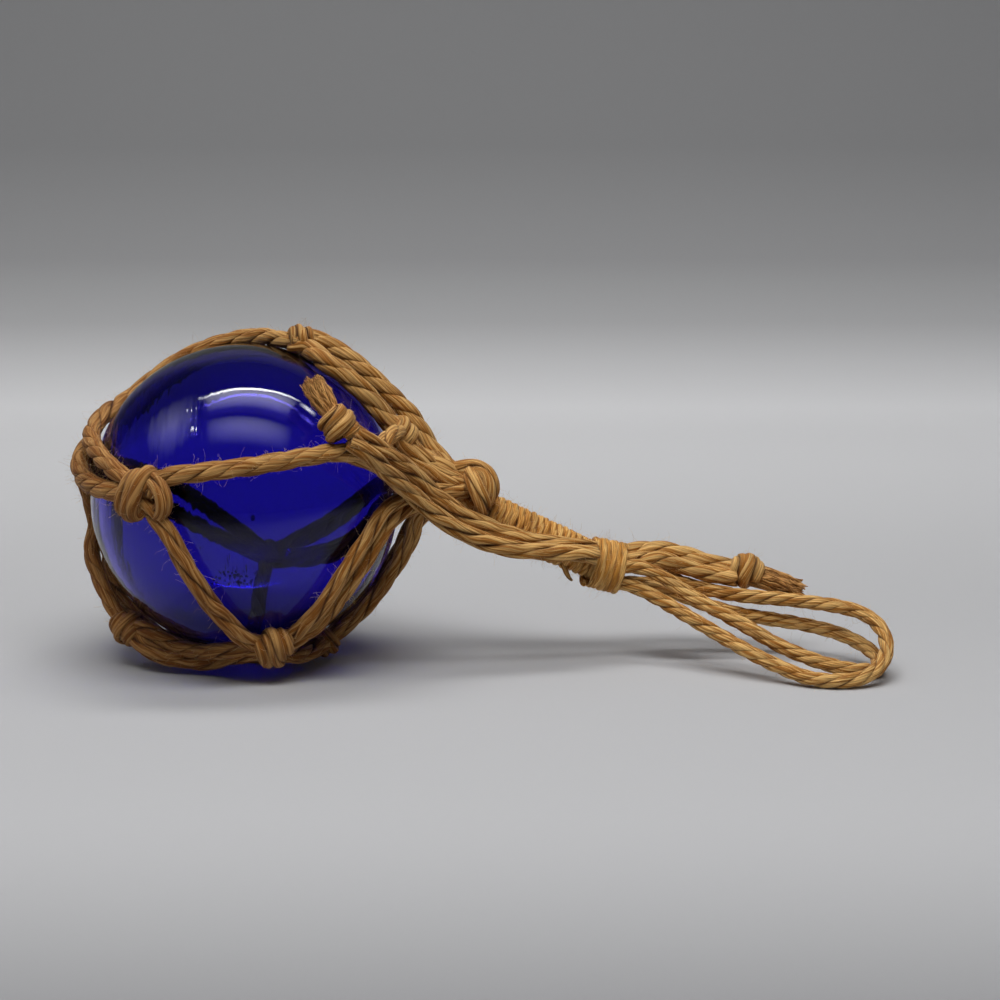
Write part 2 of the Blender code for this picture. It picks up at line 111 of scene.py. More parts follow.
# ---------------------------------------------------------------------------------------------------
# Node trees
# ---------------------------------------------------------------------------------------------------
class Signal:
    """A node's output that can stand in a Python expression."""

    def __init__(self, graph: "Graph", socket: bpy.types.NodeSocket) -> None:
        """Keep the socket and the graph that holds its node."""
        self.graph = graph
        self.socket = socket

    def output(self, name: str) -> "Signal":
        """Return another output of the same node."""
        return Signal(self.graph, self.socket.node.outputs[name])

    def math(self, operation: str, left: "Value", right: "Value" = 0.0) -> "Signal":
        """Return the result of a Math node."""
        return self.graph.node("ShaderNodeMath", {"operation": operation}, {0: left, 1: right})

    def __add__(self, other: "Value") -> "Signal":
        """Add."""
        return self.math("ADD", self, other)

    __radd__ = __add__

    def __mul__(self, other: "Value") -> "Signal":
        """Multiply."""
        return self.math("MULTIPLY", self, other)

    __rmul__ = __mul__

    def __sub__(self, other: "Value") -> "Signal":
        """Subtract from this."""
        return self.math("SUBTRACT", self, other)

    def __rsub__(self, other: "Value") -> "Signal":
        """Subtract this from a number."""
        return self.math("SUBTRACT", other, self)

    def __pow__(self, other: "Value") -> "Signal":
        """Raise to a power."""
        return self.math("POWER", self, other)

    def __abs__(self) -> "Signal":
        """Drop the sign."""
        return self.math("ABSOLUTE", self)

    def sine(self) -> "Signal":
        """Return the sine."""
        return self.math("SINE", self)

    def cosine(self) -> "Signal":
        """Return the cosine."""
        return self.math("COSINE", self)

    def eased(self, low: float, high: float) -> "Signal":
        """Return 0 below low and 1 above high, with a smooth step between."""
        sockets = {0: self, 1: low, 2: high, 3: 0.0, 4: 1.0}
        return self.graph.node("ShaderNodeMapRange", {"interpolation_type": "SMOOTHSTEP"}, sockets)


Value = Union[Signal, float, int]


class Graph:
    """A node tree whose nodes all come from one method."""

    def __init__(self, tree: bpy.types.NodeTree) -> None:
        """Start from an empty tree."""
        self.tree = tree
        tree.nodes.clear()

    def feed(self, socket: bpy.types.NodeSocket, value: Any) -> None:
        """Link a signal, or each of a list of signals, to a socket, or set its plain value."""
        if isinstance(value, list):
            for part in value:
                self.feed(socket, part)
        elif isinstance(value, Signal):
            self.tree.links.new(value.socket, socket)
        else:
            socket.default_value = value

    def node(self, kind: str, settings: dict[str, Any] | None = None,
             sockets: dict[Any, Any] | None = None, output: Union[int, str] = 0) -> Signal:
        """Add one node.

        Args:
            kind: the node's type.
            settings: its properties; "stops" gives a colour ramp's places and colours.
            sockets: values or signals of its inputs, by name or place.
            output: the output to return, by name or place.

        Returns:
            The chosen output.
        """
        made = self.tree.nodes.new(kind)
        for name, value in (settings or {}).items():
            if name == "stops":
                self.set_stops(made.color_ramp, value)
            else:
                setattr(made, name, value)
        for key, value in (sockets or {}).items():
            self.feed(made.inputs[key], value)
        return Signal(self, made.outputs[output] if len(made.outputs) else None)

    @staticmethod
    def set_stops(ramp: bpy.types.ColorRamp, stops: list[tuple[float, Colour]]) -> None:
        """Give a colour ramp its stops."""
        while len(ramp.elements) < len(stops):
            ramp.elements.new(1.0)
        for element, (place, colour) in zip(ramp.elements, stops):
            element.position = place
            element.color = colour

    def mix(self, factor: Value, first: Any, second: Any, mode: str = "MIX") -> Signal:
        """Mix two colours."""
        settings = {"data_type": "RGBA", "blend_type": mode, "clamp_factor": True}
        return self.node("ShaderNodeMix", settings, {0: factor, 6: first, 7: second}, output=2)

    def noise(self, vector: Signal, stretch: Triple | None, detail: float = 2.0, rough: float = 0.5
              ) -> Signal:
        """Return a noise texture's value.

        Args:
            vector: where it is read.
            stretch: its scale along each axis, or None where the vector is to scale.
            detail: how many finer layers it has.
            rough: how strong those layers are.

        Returns:
            A number round 0.5.
        """
        spot = self.vector("MULTIPLY", vector, stretch) if stretch else vector
        sockets = {"Vector": spot, "Scale": 1.0, "Detail": detail, "Roughness": rough}
        return self.node("ShaderNodeTexNoise", {"noise_dimensions": "3D"}, sockets)

    def swirl(self, scale: float, place: dict[str, Signal] | None = None) -> Signal:
        """Return a noise texture's direction.

        Args:
            scale: its scale.
            place: its Vector socket, where it has one.

        Returns:
            A vector with parts between about -0.5 and 0.5.
        """
        sockets = {**(place or {}), "Scale": scale}
        colour = self.node("ShaderNodeTexNoise", {"noise_dimensions": "3D"}, sockets, output="Color")
        return self.vector("SUBTRACT", colour, (0.5, 0.5, 0.5))

    def vector(self, operation: str, first: Any, second: Any) -> Signal:
        """Return the result of a Vector Math node."""
        return self.node("ShaderNodeVectorMath", {"operation": operation}, {0: first, 1: second})

    def scaled(self, vector: Signal, factor: Value) -> Signal:
        """Return a vector times a number."""
        return self.node("ShaderNodeVectorMath", {"operation": "SCALE"}, {0: vector, "Scale": factor})

    def parts(self, vector: Signal) -> Signal:
        """Return a vector's X, which also has the outputs Y and Z."""
        return self.node("ShaderNodeSeparateXYZ", None, {0: vector})

    def joined(self, x: Value, y: Value, z: Value) -> Signal:
        """Return the vector that three numbers make."""
        return self.node("ShaderNodeCombineXYZ", None, {"X": x, "Y": y, "Z": z})

    def kept(self, name: str, output: str = "Vector") -> Signal:
        """Return what a mesh keeps under a name, for its material."""
        return self.node("ShaderNodeAttribute", {"attribute_name": name}, output=output)

    def bump(self, height: Signal, strength: float, distance: float) -> Signal:
        """Return the normal of a surface with a height."""
        sockets = {"Strength": strength, "Distance": distance, "Height": height}
        return self.node("ShaderNodeBump", None, sockets)


class Finish:
    """A new material with one Principled shader, whose plain numbers sit on the shader itself."""

    def __init__(self, name: str, **plain: Any) -> None:
        """Make the material.

        Args:
            name: its name.
            plain: the shader's constant sockets, named with underscores.
        """
        self.material = bpy.data.materials.new(name)
        self.material.use_nodes = True
        self.graph = Graph(self.material.node_tree)
        self.place = self.graph.node("ShaderNodeTexCoord", output="Object")
        shader = self.graph.node("ShaderNodeBsdfPrincipled")
        self.shader = shader.socket.node
        self.graph.node("ShaderNodeOutputMaterial", None, {"Surface": shader})
        for key, value in plain.items():
            self.set(key.replace("_", " "), value)

    def set(self, socket: str, value: Any) -> None:
        """Set or link one of the shader's sockets."""
        self.graph.feed(self.shader.inputs[socket], value)


@dataclass(frozen=True)
class JuteFinish:
    """Jute laid up into cord: straw fibres among dark ones, with painted shade in the grooves and
    creases.

    hairs, bundles and patches are how fine each pattern is, along the fibres and across them. grain
    is the height of the fibres in the bump, and toast how far patches lean to the dark colour. The dark
    colour is also painted shade in the grooves between yarns and the creases between plies. The
    multiplied colour is painted shade, darker on the cords away from the tail and lower down.
    """

    name: str
    # dark fibres, a colour also painted as shade into the grooves and creases
    dark_fibre_and_crease_shade: Colour
    body: Colour
    straw: Colour
    # painted shade: multiplied over the cords away from the tail and lower down
    painted_shade_tint: Colour = (0.54, 0.44, 0.39, 1.0)
    hairs: Triple = (150.0, 2700.0, 2700.0)
    bundles: Triple = (80.0, 1100.0, 1100.0)
    patches: Triple = (60.0, 120.0, 120.0)
    yarns: int = 9
    grain: float = 0.22 * MM
    toast: float = 0.40
    rough: float = 0.75

    def make(self) -> Material:
        """Make the material, which reads the cord's own lay and depth.

        Returns:
            The material.
        """
        finish = Finish(self.name, Specular_IOR_Level=0.2, Sheen_Weight=0.05, Sheen_Roughness=0.5)
        graph = finish.graph
        lay = graph.kept("lay")
        hairs = graph.noise(lay, self.hairs, 3.0, 0.65)
        bundles = graph.noise(lay, self.bundles)
        patches = graph.noise(lay, self.patches)
        across = graph.parts(lay)
        bearing = across.math("ARCTAN2", across.output("Z"), across.output("Y"))
        ridge = abs(((bearing * (self.yarns / 2)) + (bundles * 3.0)).cosine())
        tan = graph.mix(bundles.eased(0.42, 0.62) * 0.7, self.body, self.straw)
        tan = graph.mix(hairs.eased(0.52, 0.66) * 0.8, tan, self.straw)
        tan = graph.mix(0.6 - (hairs.eased(0.30, 0.46) * 0.6), tan, self.dark_fibre_and_crease_shade)
        # painted shade: the grooves between yarns are darkened toward the dark colour
        tan = graph.mix(0.4 - (ridge.eased(0.0, 0.4) * 0.4), tan, self.dark_fibre_and_crease_shade)
        tan = graph.mix(patches.eased(0.48, 0.75) * self.toast, tan, self.dark_fibre_and_crease_shade)
        # painted shade: darker away from the tail and lower down, multiplied over the colour
        place = graph.parts(finish.place)
        toward_tail = place + (place.output("Z") * 0.6)
        tan = graph.mix(1.0 - toward_tail.eased(-0.03, 0.13), tan, self.painted_shade_tint, "MULTIPLY")
        # painted shade: darker deep in the creases between plies, by how deep each point sits in the
        # cord
        shade = graph.kept("depth", "Fac").eased(0.07, 0.34) * 0.85
        finish.set("Base Color", graph.mix(shade, tan, self.dark_fibre_and_crease_shade))
        finish.set("Roughness", (hairs * 0.2) + (self.rough - 0.1))
        finish.set("Normal", graph.bump((hairs * 0.5) + (ridge * 0.5), 0.8, self.grain))
        return finish.material


@dataclass(frozen=True)
class FibreFinish:
    """Single loose jute fibres, pale and a little shiny.

    by_place and by_fibre are how fast their shade changes along them and from one to the next.
    """

    name: str = "stray_jute_fibre"
    dark: Colour = (0.36, 0.18, 0.05, 1.0)
    pale: Colour = (0.85, 0.60, 0.30, 1.0)
    by_place: float = 320.0
    by_fibre: float = 9.0

    def make(self) -> Material:
        """Make the material, which changes from fibre to fibre.

        Returns:
            The material.
        """
        finish = Finish(self.name, Roughness=0.55, Specular_IOR_Level=0.4)
        graph = finish.graph
        root = graph.scaled(graph.kept("root"), self.by_fibre)
        spot = graph.vector("ADD", graph.scaled(finish.place, self.by_place), root)
        shade = graph.noise(spot, None, 1.0)
        finish.set("Base Color", graph.mix(shade.eased(0.38, 0.62), self.dark, self.pale))
        return finish.material


@dataclass(frozen=True)
class GlassFinish:
    """Clear deep blue blown glass, wavy all over and streaked where it was drawn.

    The streaks fade out between two places along X, on the way to the tail.
    """

    name: str = "cobalt_blown_glass"
    tint: Colour = (0.100, 0.075, 0.60, 1.0)
    ior: float = 1.38
    waves: Triple = (60.0, 60.0, 22.0)
    streaks: Triple = (560.0, 90.0, 90.0)
    streaked_to: tuple[float, float] = (-0.012, 0.004)
    streak_share: float = 1.6
    relief: float = 0.25 * MM

    def make(self) -> Material:
        """Make the material: its colour and clearness are plain numbers.

        Returns:
            The material.
        """
        finish = Finish(self.name, Base_Color=self.tint, Roughness=0.0, IOR=self.ior,
                        Transmission_Weight=1.0, Specular_IOR_Level=0.22)
        graph = finish.graph
        waves = graph.noise(finish.place, self.waves, 1.0)
        streaks = graph.noise(finish.place, self.streaks, 1.0) - 0.5
        drawn = 1.0 - graph.parts(finish.place).eased(*self.streaked_to)
        waves = waves + (streaks * drawn * self.streak_share)
        finish.set("Normal", graph.bump(waves, 0.25, self.relief))
        return finish.material


@dataclass(frozen=True)
class PaperFinish:
    """Matt paper of the sweep: pale on the table, with painted shade greying it as it climbs and
    darkening it towards its edges.

    Its greys by height, with climb stretching the height over the ramp, are painted shade, and
    fall_off is how far the dark edge colour, also painted shade, takes over at the sides and in front.
    """

    name: str = "sweep_paper"
    table: Colour = (0.485, 0.485, 0.495, 1.0)
    # painted shade: the dark colour that the paper takes at its sides and in front
    edge: Colour = (0.05, 0.05, 0.053, 1.0)
    middle: float = 0.06
    fall_off: float = 0.85
    climb: float = 7.0
    # painted shade: the paper's grey by height as it climbs
    painted_falloff_greys: tuple[tuple[float, float], ...] = (
        (0.0, 0.78), (0.03, 0.79), (0.10, 0.66), (0.22, 0.455), (0.4, 0.33), (0.75, 0.252))

    def make(self) -> Material:
        """Make the material, which greys with height.

        Returns:
            The material.
        """
        finish = Finish(self.name, Roughness=0.85, Specular_IOR_Level=0.15)
        graph = finish.graph
        place = graph.parts(finish.place)
        stops = [(z, (v, v, v * 1.015, 1.0)) for z, v in self.painted_falloff_greys]
        # painted shade: greyer with height up the sweep
        climb = graph.node("ShaderNodeValToRGB", {"stops": stops}, {0: place.output("Z") * self.climb})
        paper = graph.mix(place.output("Y").eased(0.02, 0.44), self.table, climb)
        # painted shade: darker towards the sides and the front edge
        side = abs(place - self.middle).eased(0.27, 0.55)
        near = (0.0 - place.output("Y")).eased(0.12, 0.34)
        unlit = side.math("MAXIMUM", side, near) * self.fall_off
        finish.set("Base Color", graph.mix(unlit, paper, self.edge))
        return finish.material


# ---------------------------------------------------------------------------------------------------
# Laid cord
# ---------------------------------------------------------------------------------------------------
def unit(vectors: Array) -> Array:
    """Return rows scaled to length one."""
    return vectors / np.maximum(np.linalg.norm(vectors, axis=-1, keepdims=True), 1e-12)


def travelled(path: Array) -> Array:
    """Return the length of a path up to each of its points."""
    return np.concatenate([[0.0], np.cumsum(np.linalg.norm(np.diff(path, axis=0), axis=1))])


def waver(along: Array, wave: float, rng: np.random.Generator) -> Array:
    """Return a smooth wandering number between about -1 and 1.

    Args:
        along: length along the cord.
        wave: typical length of one swing.
        rng: source of the swings' phases.

    Returns:
        One value for each place.
    """
    total = np.zeros_like(along)
    for share, stretch in ((0.5, 1.0), (0.3, 0.53), (0.2, 0.29)):
        total += share * np.sin(TAU * along / (wave * stretch) + rng.uniform(0.0, TAU))
    return total


def smooth_path(points: list[Vector], step: float, radii: list[float] | None = None
                ) -> tuple[Array, Array]:
    """Walk a smooth curve through a route's points.

    Args:
        points: the route.
        step: distance between samples.
        radii: a number for each point that is carried along, such as a radius.

    Returns:
        The samples and the number carried at each.
    """
    knots = np.array([tuple(p) for p in points])
    carried = np.array(radii if radii else [1.0] * len(points))
    ends = np.vstack([knots[0] * 2 - knots[1], knots, knots[-1] * 2 - knots[-2]])
    t = np.linspace(0.0, 1.0, SPAN_SAMPLES, endpoint=False)[:, None]
    rows, numbers = [], []
    for i in range(1, len(ends) - 2):
        a, b, c, d = ends[i - 1:i + 3]
        rows.append((b * 2 + (c - a) * t + (a * 2 - b * 5 + c * 4 - d) * t ** 2
                     + (b * 3 - a - c * 3 + d) * t ** 3) / 2)
        numbers.append(carried[i - 1] * (1 - t[:, 0]) + carried[i] * t[:, 0])
    fine = np.vstack(rows + [knots[-1:]])
    number = np.concatenate(numbers + [carried[-1:]])
    length = travelled(fine)
    wanted = np.linspace(0.0, length[-1], max(3, round(length[-1] / step) + 1))
    path = np.stack([np.interp(wanted, length, fine[:, k]) for k in range(3)], axis=1)
    for _ in range(SMOOTHING_ROUNDS):
        path[1:-1] = path[1:-1] * 0.5 + (path[:-2] + path[2:]) * 0.25
    return path, np.interp(wanted, length, number)


def carried_frame(path: Array) -> tuple[Array, Array]:
    """Carry two normals along a path without twisting them round it.

    Args:
        path: the centreline.

    Returns:
        The normal and the one square to it, at each point.
    """
    heading = unit(np.gradient(path, axis=0))
    normal = np.zeros_like(path)
    start = np.cross(heading[0], (0.0, 0.0, 1.0))
    normal[0] = start if np.linalg.norm(start) > 0.1 else np.cross(heading[0], (1.0, 0.0, 0.0))
    for i in range(1, len(path)):
        normal[i] = normal[i - 1] - heading[i] * np.dot(normal[i - 1], heading[i])
        normal[i] /= np.linalg.norm(normal[i])
    normal[0] /= np.linalg.norm(normal[0])
    return normal, np.cross(heading, normal)


def standing(name: str, data: Any) -> Piece:
    """Put an object into the scene, at the origin.

    Args:
        name: its name.
        data: its mesh, light or camera.

    Returns:
        The object.
    """
    made = bpy.data.objects.new(name, data)
    bpy.context.scene.collection.objects.link(made)
    return made


def moulded(name: str, points: Array, faces: Faces, material: Material) -> Piece:
    """Make a smooth mesh object.

    Args:
        name: its name.
        points: its points, by row.
        faces: the numbers of the points of each face.
        material: its finish.

    Returns:
        The object.
    """
    mesh = bpy.data.meshes.new(name)
    mesh.from_pydata(points.tolist(), [], faces)
    mesh.materials.append(material)
    mesh.shade_smooth()
    return standing(name, mesh)


def tube_faces(start: int, rings: int, sides: int) -> Faces:
    """Close a tube whose points go ring by ring and then give its first and its last end.

    Args:
        start: number of its first point.
        rings: how many rings it has.
        sides: how many points a ring has.

    Returns:
        Its faces.
    """
    faces = []
    for row in range(start, start + (rings - 1) * sides, sides):
        for j in range(sides):
            k = (j + 1) % sides
            faces.append((row + j, row + k, row + sides + k, row + sides + j))
    last, ends = start + (rings - 1) * sides, start + rings * sides
    for j in range(sides):
        k = (j + 1) % sides
        faces += [(ends, start + k, start + j), (ends + 1, last + j, last + k)]
    return faces


@dataclass(frozen=True)
class Lay:
    """How a cord is laid up from its plies.

    pitch is the length of one full turn of the plies, and ply and wide are half a ply's thickness
    and half its width as shares of the cord's radius. wander is how far a ply strays and swell how
    much its thickness varies. waves are the lengths over which its turn, its thickness and its seat
    vary. yarns counts the ridges round a ply, groove is how deep they are cut, back how far the
    yarns are twisted against the plies, and sides and step set its fineness.
    """

    plies: int = 3
    pitch: float = 18.0 * MM
    ply: float = 0.50
    wide: float = 0.68
    wander: float = 0.05
    yarns: int = 5
    groove: float = 0.07
    swell: float = 0.07
    waves: tuple[float, float, float] = (30 * MM, 24 * MM, 21 * MM)
    back: float = 0.7
    sides: int = 18
    step: float = 0.75 * MM


class LayUp(Enum):
    """The lays that this float's jute shows."""

    HARD = Lay()
    LONG = Lay(pitch=21.0 * MM, wide=0.66, wander=0.07)
    OPEN = Lay(pitch=36.0 * MM, wander=0.08, wide=0.64)
    LOOP = Lay(plies=4, pitch=18.0 * MM, ply=0.48, wide=0.54, wander=0.04, sides=14)
    YARNS = Lay(plies=4, pitch=36.0 * MM, ply=0.45, wide=0.54, wander=0.07, yarns=3, sides=14)
    TURN = Lay(pitch=42.0 * MM, wide=0.64, wander=0.06)


class CordBag:
    """Gathers swept plies, with the lay and depth that their finish reads, into one mesh."""

    def __init__(self) -> None:
        """Start with nothing in it."""
        self.points: list[Array] = []
        self.faces: Faces = []
        self.lay: list[Array] = []
        self.depth: list[Array] = []
        self.count = 0

    def add_rings(self, rings: Array, lay: Array, depth: Array) -> None:
        """Add a closed tube.

        Args:
            rings: points, by ring and side.
            lay: place of each point in the fibres of its ply.
            depth: how deep in the cord each point sits, 0 at its outside.
        """
        count, sides = rings.shape[:2]
        ends = [rings[0].mean(axis=0), rings[-1].mean(axis=0)]
        self.points.append(np.vstack([rings.reshape(-1, 3), ends]))
        self.lay.append(np.vstack([lay.reshape(-1, 3), lay[0].mean(axis=0), lay[-1].mean(axis=0)]))
        self.depth.append(np.concatenate([depth.reshape(-1), [END_DEPTH, END_DEPTH]]))
        self.faces += tube_faces(self.count, count, sides)
        self.count += count * sides + 2

    def add_cord(self, path: Array, radius: Array, lay: Lay, seed: int, phase: float = 0.0) -> None:
        """Lay up one cord along a path.

        Args:
            path: the cord's centreline.
            radius: the cord's radius at each point of it.
            lay: how it is laid up.
            seed: picks the small irregularities.
            phase: turn of the plies at the start, in radians.
        """
        rng = np.random.default_rng(seed)
        normal, side = carried_frame(path)
        along = travelled(path)
        theta = np.linspace(0.0, TAU, lay.sides, endpoint=False)
        for k in range(lay.plies):
            turn = phase - TAU * (along / lay.pitch + k / lay.plies)
            turn = turn + lay.wander * 5.0 * waver(along, lay.waves[0], rng)
            loose = radius * (1.0 + lay.swell * waver(along, lay.waves[1], rng))
            thick, wide = (lay.ply * loose)[:, None], (lay.wide * loose)[:, None]
            seat = (radius - thick[:, 0]) * (1.0 + lay.wander * waver(along, lay.waves[2], rng))
            away = np.cos(turn)[:, None] * normal + np.sin(turn)[:, None] * side
            centre = path + away * seat[:, None]
            heading = unit(np.gradient(centre, axis=0))
            up = unit(away - heading * np.sum(away * heading, axis=1, keepdims=True))
            across = np.cross(heading, up)
            back = 1.0 + lay.back * (1.0 - lay.ply) / lay.ply
            spin = theta[None, :] - (along / lay.pitch * back)[:, None] * TAU
            ridge = 1.0 - lay.groove * (1.0 - np.abs(np.cos(spin * lay.yarns / 2)))
            rings = (centre[:, None] + (thick * ridge * np.cos(theta))[..., None] * up[:, None]
                     + (wide * ridge * np.sin(theta))[..., None] * across[:, None])
            start = rng.uniform(0.0, 40.0)
            fibres = np.stack([np.broadcast_to(along[:, None] + start, spin.shape),
                               wide * np.cos(spin), wide * np.sin(spin)], axis=2)
            # how deep in the cord a point sits; the jute finish paints shade into the creases by it
            depth = 1.0 - np.linalg.norm(rings - path[:, None], axis=2) / radius[:, None]
            self.add_rings(rings, fibres, np.clip(depth, 0.0, 1.0))

    def run(self, points: list[Vector], diameter: float, layup: LayUp, seed: int, phase: float = 0.0,
            radii: list[float] | None = None) -> Array:
        """Lay up a cord along a route.

        Args:
            points: the route.
            diameter: how thick the cord is.
            layup: how it is laid up.
            seed: picks the small irregularities.
            phase: turn of the plies at the start, in radians.
            radii: the share of the radius at each point, where it varies.

        Returns:
            The cord's centreline.
        """
        path, scale = smooth_path(points, layup.value.step, radii)
        self.add_cord(path, scale * diameter / 2, layup.value, seed, phase)
        return path

    def press(self) -> None:
        """Flatten what was gathered on the glass and on the floor."""
        for points in self.points:
            away = points - np.array(BALL_CENTRE)
            reach = np.linalg.norm(away, axis=1, keepdims=True)
            points += away / reach * np.maximum(BALL_RADIUS + OFF_GLASS - reach, 0.0)
            points[:, 2] = np.maximum(points[:, 2], OFF_FLOOR)

    def make(self, name: str, material: Material) -> Piece:
        """Turn what was gathered into one mesh.

        Args:
            name: the piece's name.
            material: its finish.

        Returns:
            The smooth object, at the origin.
        """
        piece = moulded(name, np.vstack(self.points), self.faces, material)
        marks = piece.data.attributes
        marks.new("lay", "FLOAT_VECTOR", "POINT").data.foreach_set("vector", np.vstack(self.lay).ravel())
        marks.new("depth", "FLOAT", "POINT").data.foreach_set("value", np.concatenate(self.depth))
        return piece


def enlist(piece: Piece, slot: str, *stands_for: str) -> Piece:
    """Let a piece ride on the float, in place of its plain solids.

    Args:
        piece: the dressed piece.
        slot: its material slot; not used.
        stands_for: the solids that it replaces.

    Returns:
        The same piece.
    """
    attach(piece, BODY)
    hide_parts(*stands_for)
    LOG.info("%s: %d faces", piece.name, len(piece.data.polygons))
    return piece


# ---------------------------------------------------------------------------------------------------
# Geometry node trees
# ---------------------------------------------------------------------------------------------------
class Pattern:
    """A geometry node tree with named inputs, and the plain mesh that it makes."""

    SOCKETS = {float: "NodeSocketFloat", int: "NodeSocketInt", Material: "NodeSocketMaterial"}

    def __init__(self, name: str, values: dict[str, Any]) -> None:
        """Make the tree, and the share of a curve's length so far.

        Args:
            name: the tree's name.
            values: its inputs and their values.
        """
        self.tree = bpy.data.node_groups.new(name, "GeometryNodeTree")
        self.values = values
        self.graph = Graph(self.tree)
        face = self.tree.interface
        face.new_socket("Geometry", in_out="INPUT", socket_type="NodeSocketGeometry")
        face.new_socket("Geometry", in_out="OUTPUT", socket_type="NodeSocketGeometry")
        for label, value in values.items():
            kind = next(k for t, k in self.SOCKETS.items() if isinstance(value, t))
            face.new_socket(label, in_out="INPUT", socket_type=kind)
        self.inputs = self.graph.node("NodeGroupInput")
        self.share = self.graph.node("GeometryNodeSplineParameter", output="Factor")

    def given(self, label: str) -> Signal:
        """Return one of the tree's inputs."""
        return self.inputs.output(label)

    def store(self, geometry: Signal, name: str, value: Signal, kind: str = "FLOAT_VECTOR") -> Signal:
        """Keep a value on every point under a name."""
        return self.graph.node("GeometryNodeStoreNamedAttribute", {"data_type": kind},
                               {"Geometry": geometry, "Name": name, "Value": value})

    def stored(self, name: str, kind: str = "FLOAT_VECTOR") -> Signal:
        """Return what the points keep under a name."""
        return self.graph.node("GeometryNodeInputNamedAttribute", {"data_type": kind}, {"Name": name})

    def chance(self, low: float, high: float, salt: int) -> Signal:
        """Return a random number for each point, picked by the tree's seed and a salt."""
        return self.graph.node("FunctionNodeRandomValue", {"data_type": "FLOAT"},
                               {2: low, 3: high, "Seed": self.given("Seed") + salt}, output=1)

    def line(self, points: int) -> Signal:
        """Return a straight line up +Z, one metre long and cut into points."""
        line = self.graph.node("GeometryNodeCurvePrimitiveLine")
        return self.graph.node("GeometryNodeResampleCurve", None, {"Curve": line, "Count": points})

    def planted(self, roots: Signal, points: int, **stance: Signal) -> Signal:
        """Stand a hair at each root, with a Rotation and a Scale where they are given."""
        hairs = self.graph.node("GeometryNodeInstanceOnPoints", None,
                                {"Points": roots, "Instance": self.line(points), **stance})
        return self.graph.node("GeometryNodeRealizeInstances", None, {"Geometry": hairs})

    def moved(self, curve: Signal, **where: Signal) -> Signal:
        """Move a curve's points to a Position or by an Offset."""
        return self.graph.node("GeometryNodeSetPosition", None, {"Geometry": curve, **where})

    def tapered(self, hairs: Signal, loss: float) -> Signal:
        """Thin hairs towards their tips, which lose a share of their radius."""
        return self.graph.node("GeometryNodeSetCurveRadius", None,
                               {"Curve": hairs, "Radius": 1.0 - self.share * loss})

    def swept(self, curve: Signal, radius: Value, sides: int) -> Signal:
        """Sweep a round profile along a curve, with the lay that the jute finish reads.

        Args:
            curve: the centreline.
            radius: the profile's radius.
            sides: how many sides it has.

        Returns:
            The tube.
        """
        graph = self.graph
        length = graph.node("GeometryNodeSplineParameter", output="Length")
        curve = self.store(curve, "along", length, "FLOAT")
        ring = graph.node("GeometryNodeCurvePrimitiveCircle", {"mode": "RADIUS"},
                          {"Resolution": sides, "Radius": radius})
        ring = self.store(ring, "lay", graph.node("GeometryNodeInputPosition"))
        tube = graph.node("GeometryNodeCurveToMesh", None,
                          {"Curve": curve, "Profile Curve": ring, "Fill Caps": True})
        across = graph.parts(self.stored("lay"))
        lay = graph.joined(self.stored("along", "FLOAT"), across, across.output("Y"))
        return self.store(tube, "lay", lay)

    def close(self, result: Signal) -> None:
        """End the tree in real geometry with its material.

        Args:
            result: what the tree has made.
        """
        graph = self.graph
        real = graph.node("GeometryNodeRealizeInstances", None, {"Geometry": result})
        smooth = graph.node("GeometryNodeSetShadeSmooth", None, {"Geometry": real, "Shade Smooth": True})
        dressed = graph.node("GeometryNodeSetMaterial", None,
                             {"Geometry": smooth, "Material": self.given("Material")})
        graph.node("NodeGroupOutput", None, {"Geometry": dressed})

    def make(self, name: str, source: bpy.types.Mesh | None = None,
             place: Matrix = Matrix.Identity(4)) -> Piece:
        """Run the tree and return its result as a plain mesh object at the origin.

        Args:
            name: the piece's name.
            source: the mesh that the tree starts from.
            place: where the result goes.

        Returns:
            The new object.
        """
        worker = standing(name + "_worker", source or bpy.data.meshes.new(name + "_seed"))
        change = worker.modifiers.new(self.tree.name, "NODES")
        change.node_group = self.tree
        for item in self.tree.interface.items_tree:
            if item.in_out == "INPUT" and item.name in self.values:
                change[item.identifier] = self.values[item.name]
        bpy.context.view_layer.update()
        depsgraph = bpy.context.evaluated_depsgraph_get()
        mesh = bpy.data.meshes.new_from_object(worker.evaluated_get(depsgraph))
        mesh.name = name
        worker.modifiers.remove(change)
        bpy.data.objects.remove(worker, do_unlink=True)
        mesh.transform(place)
        return standing(name, mesh)


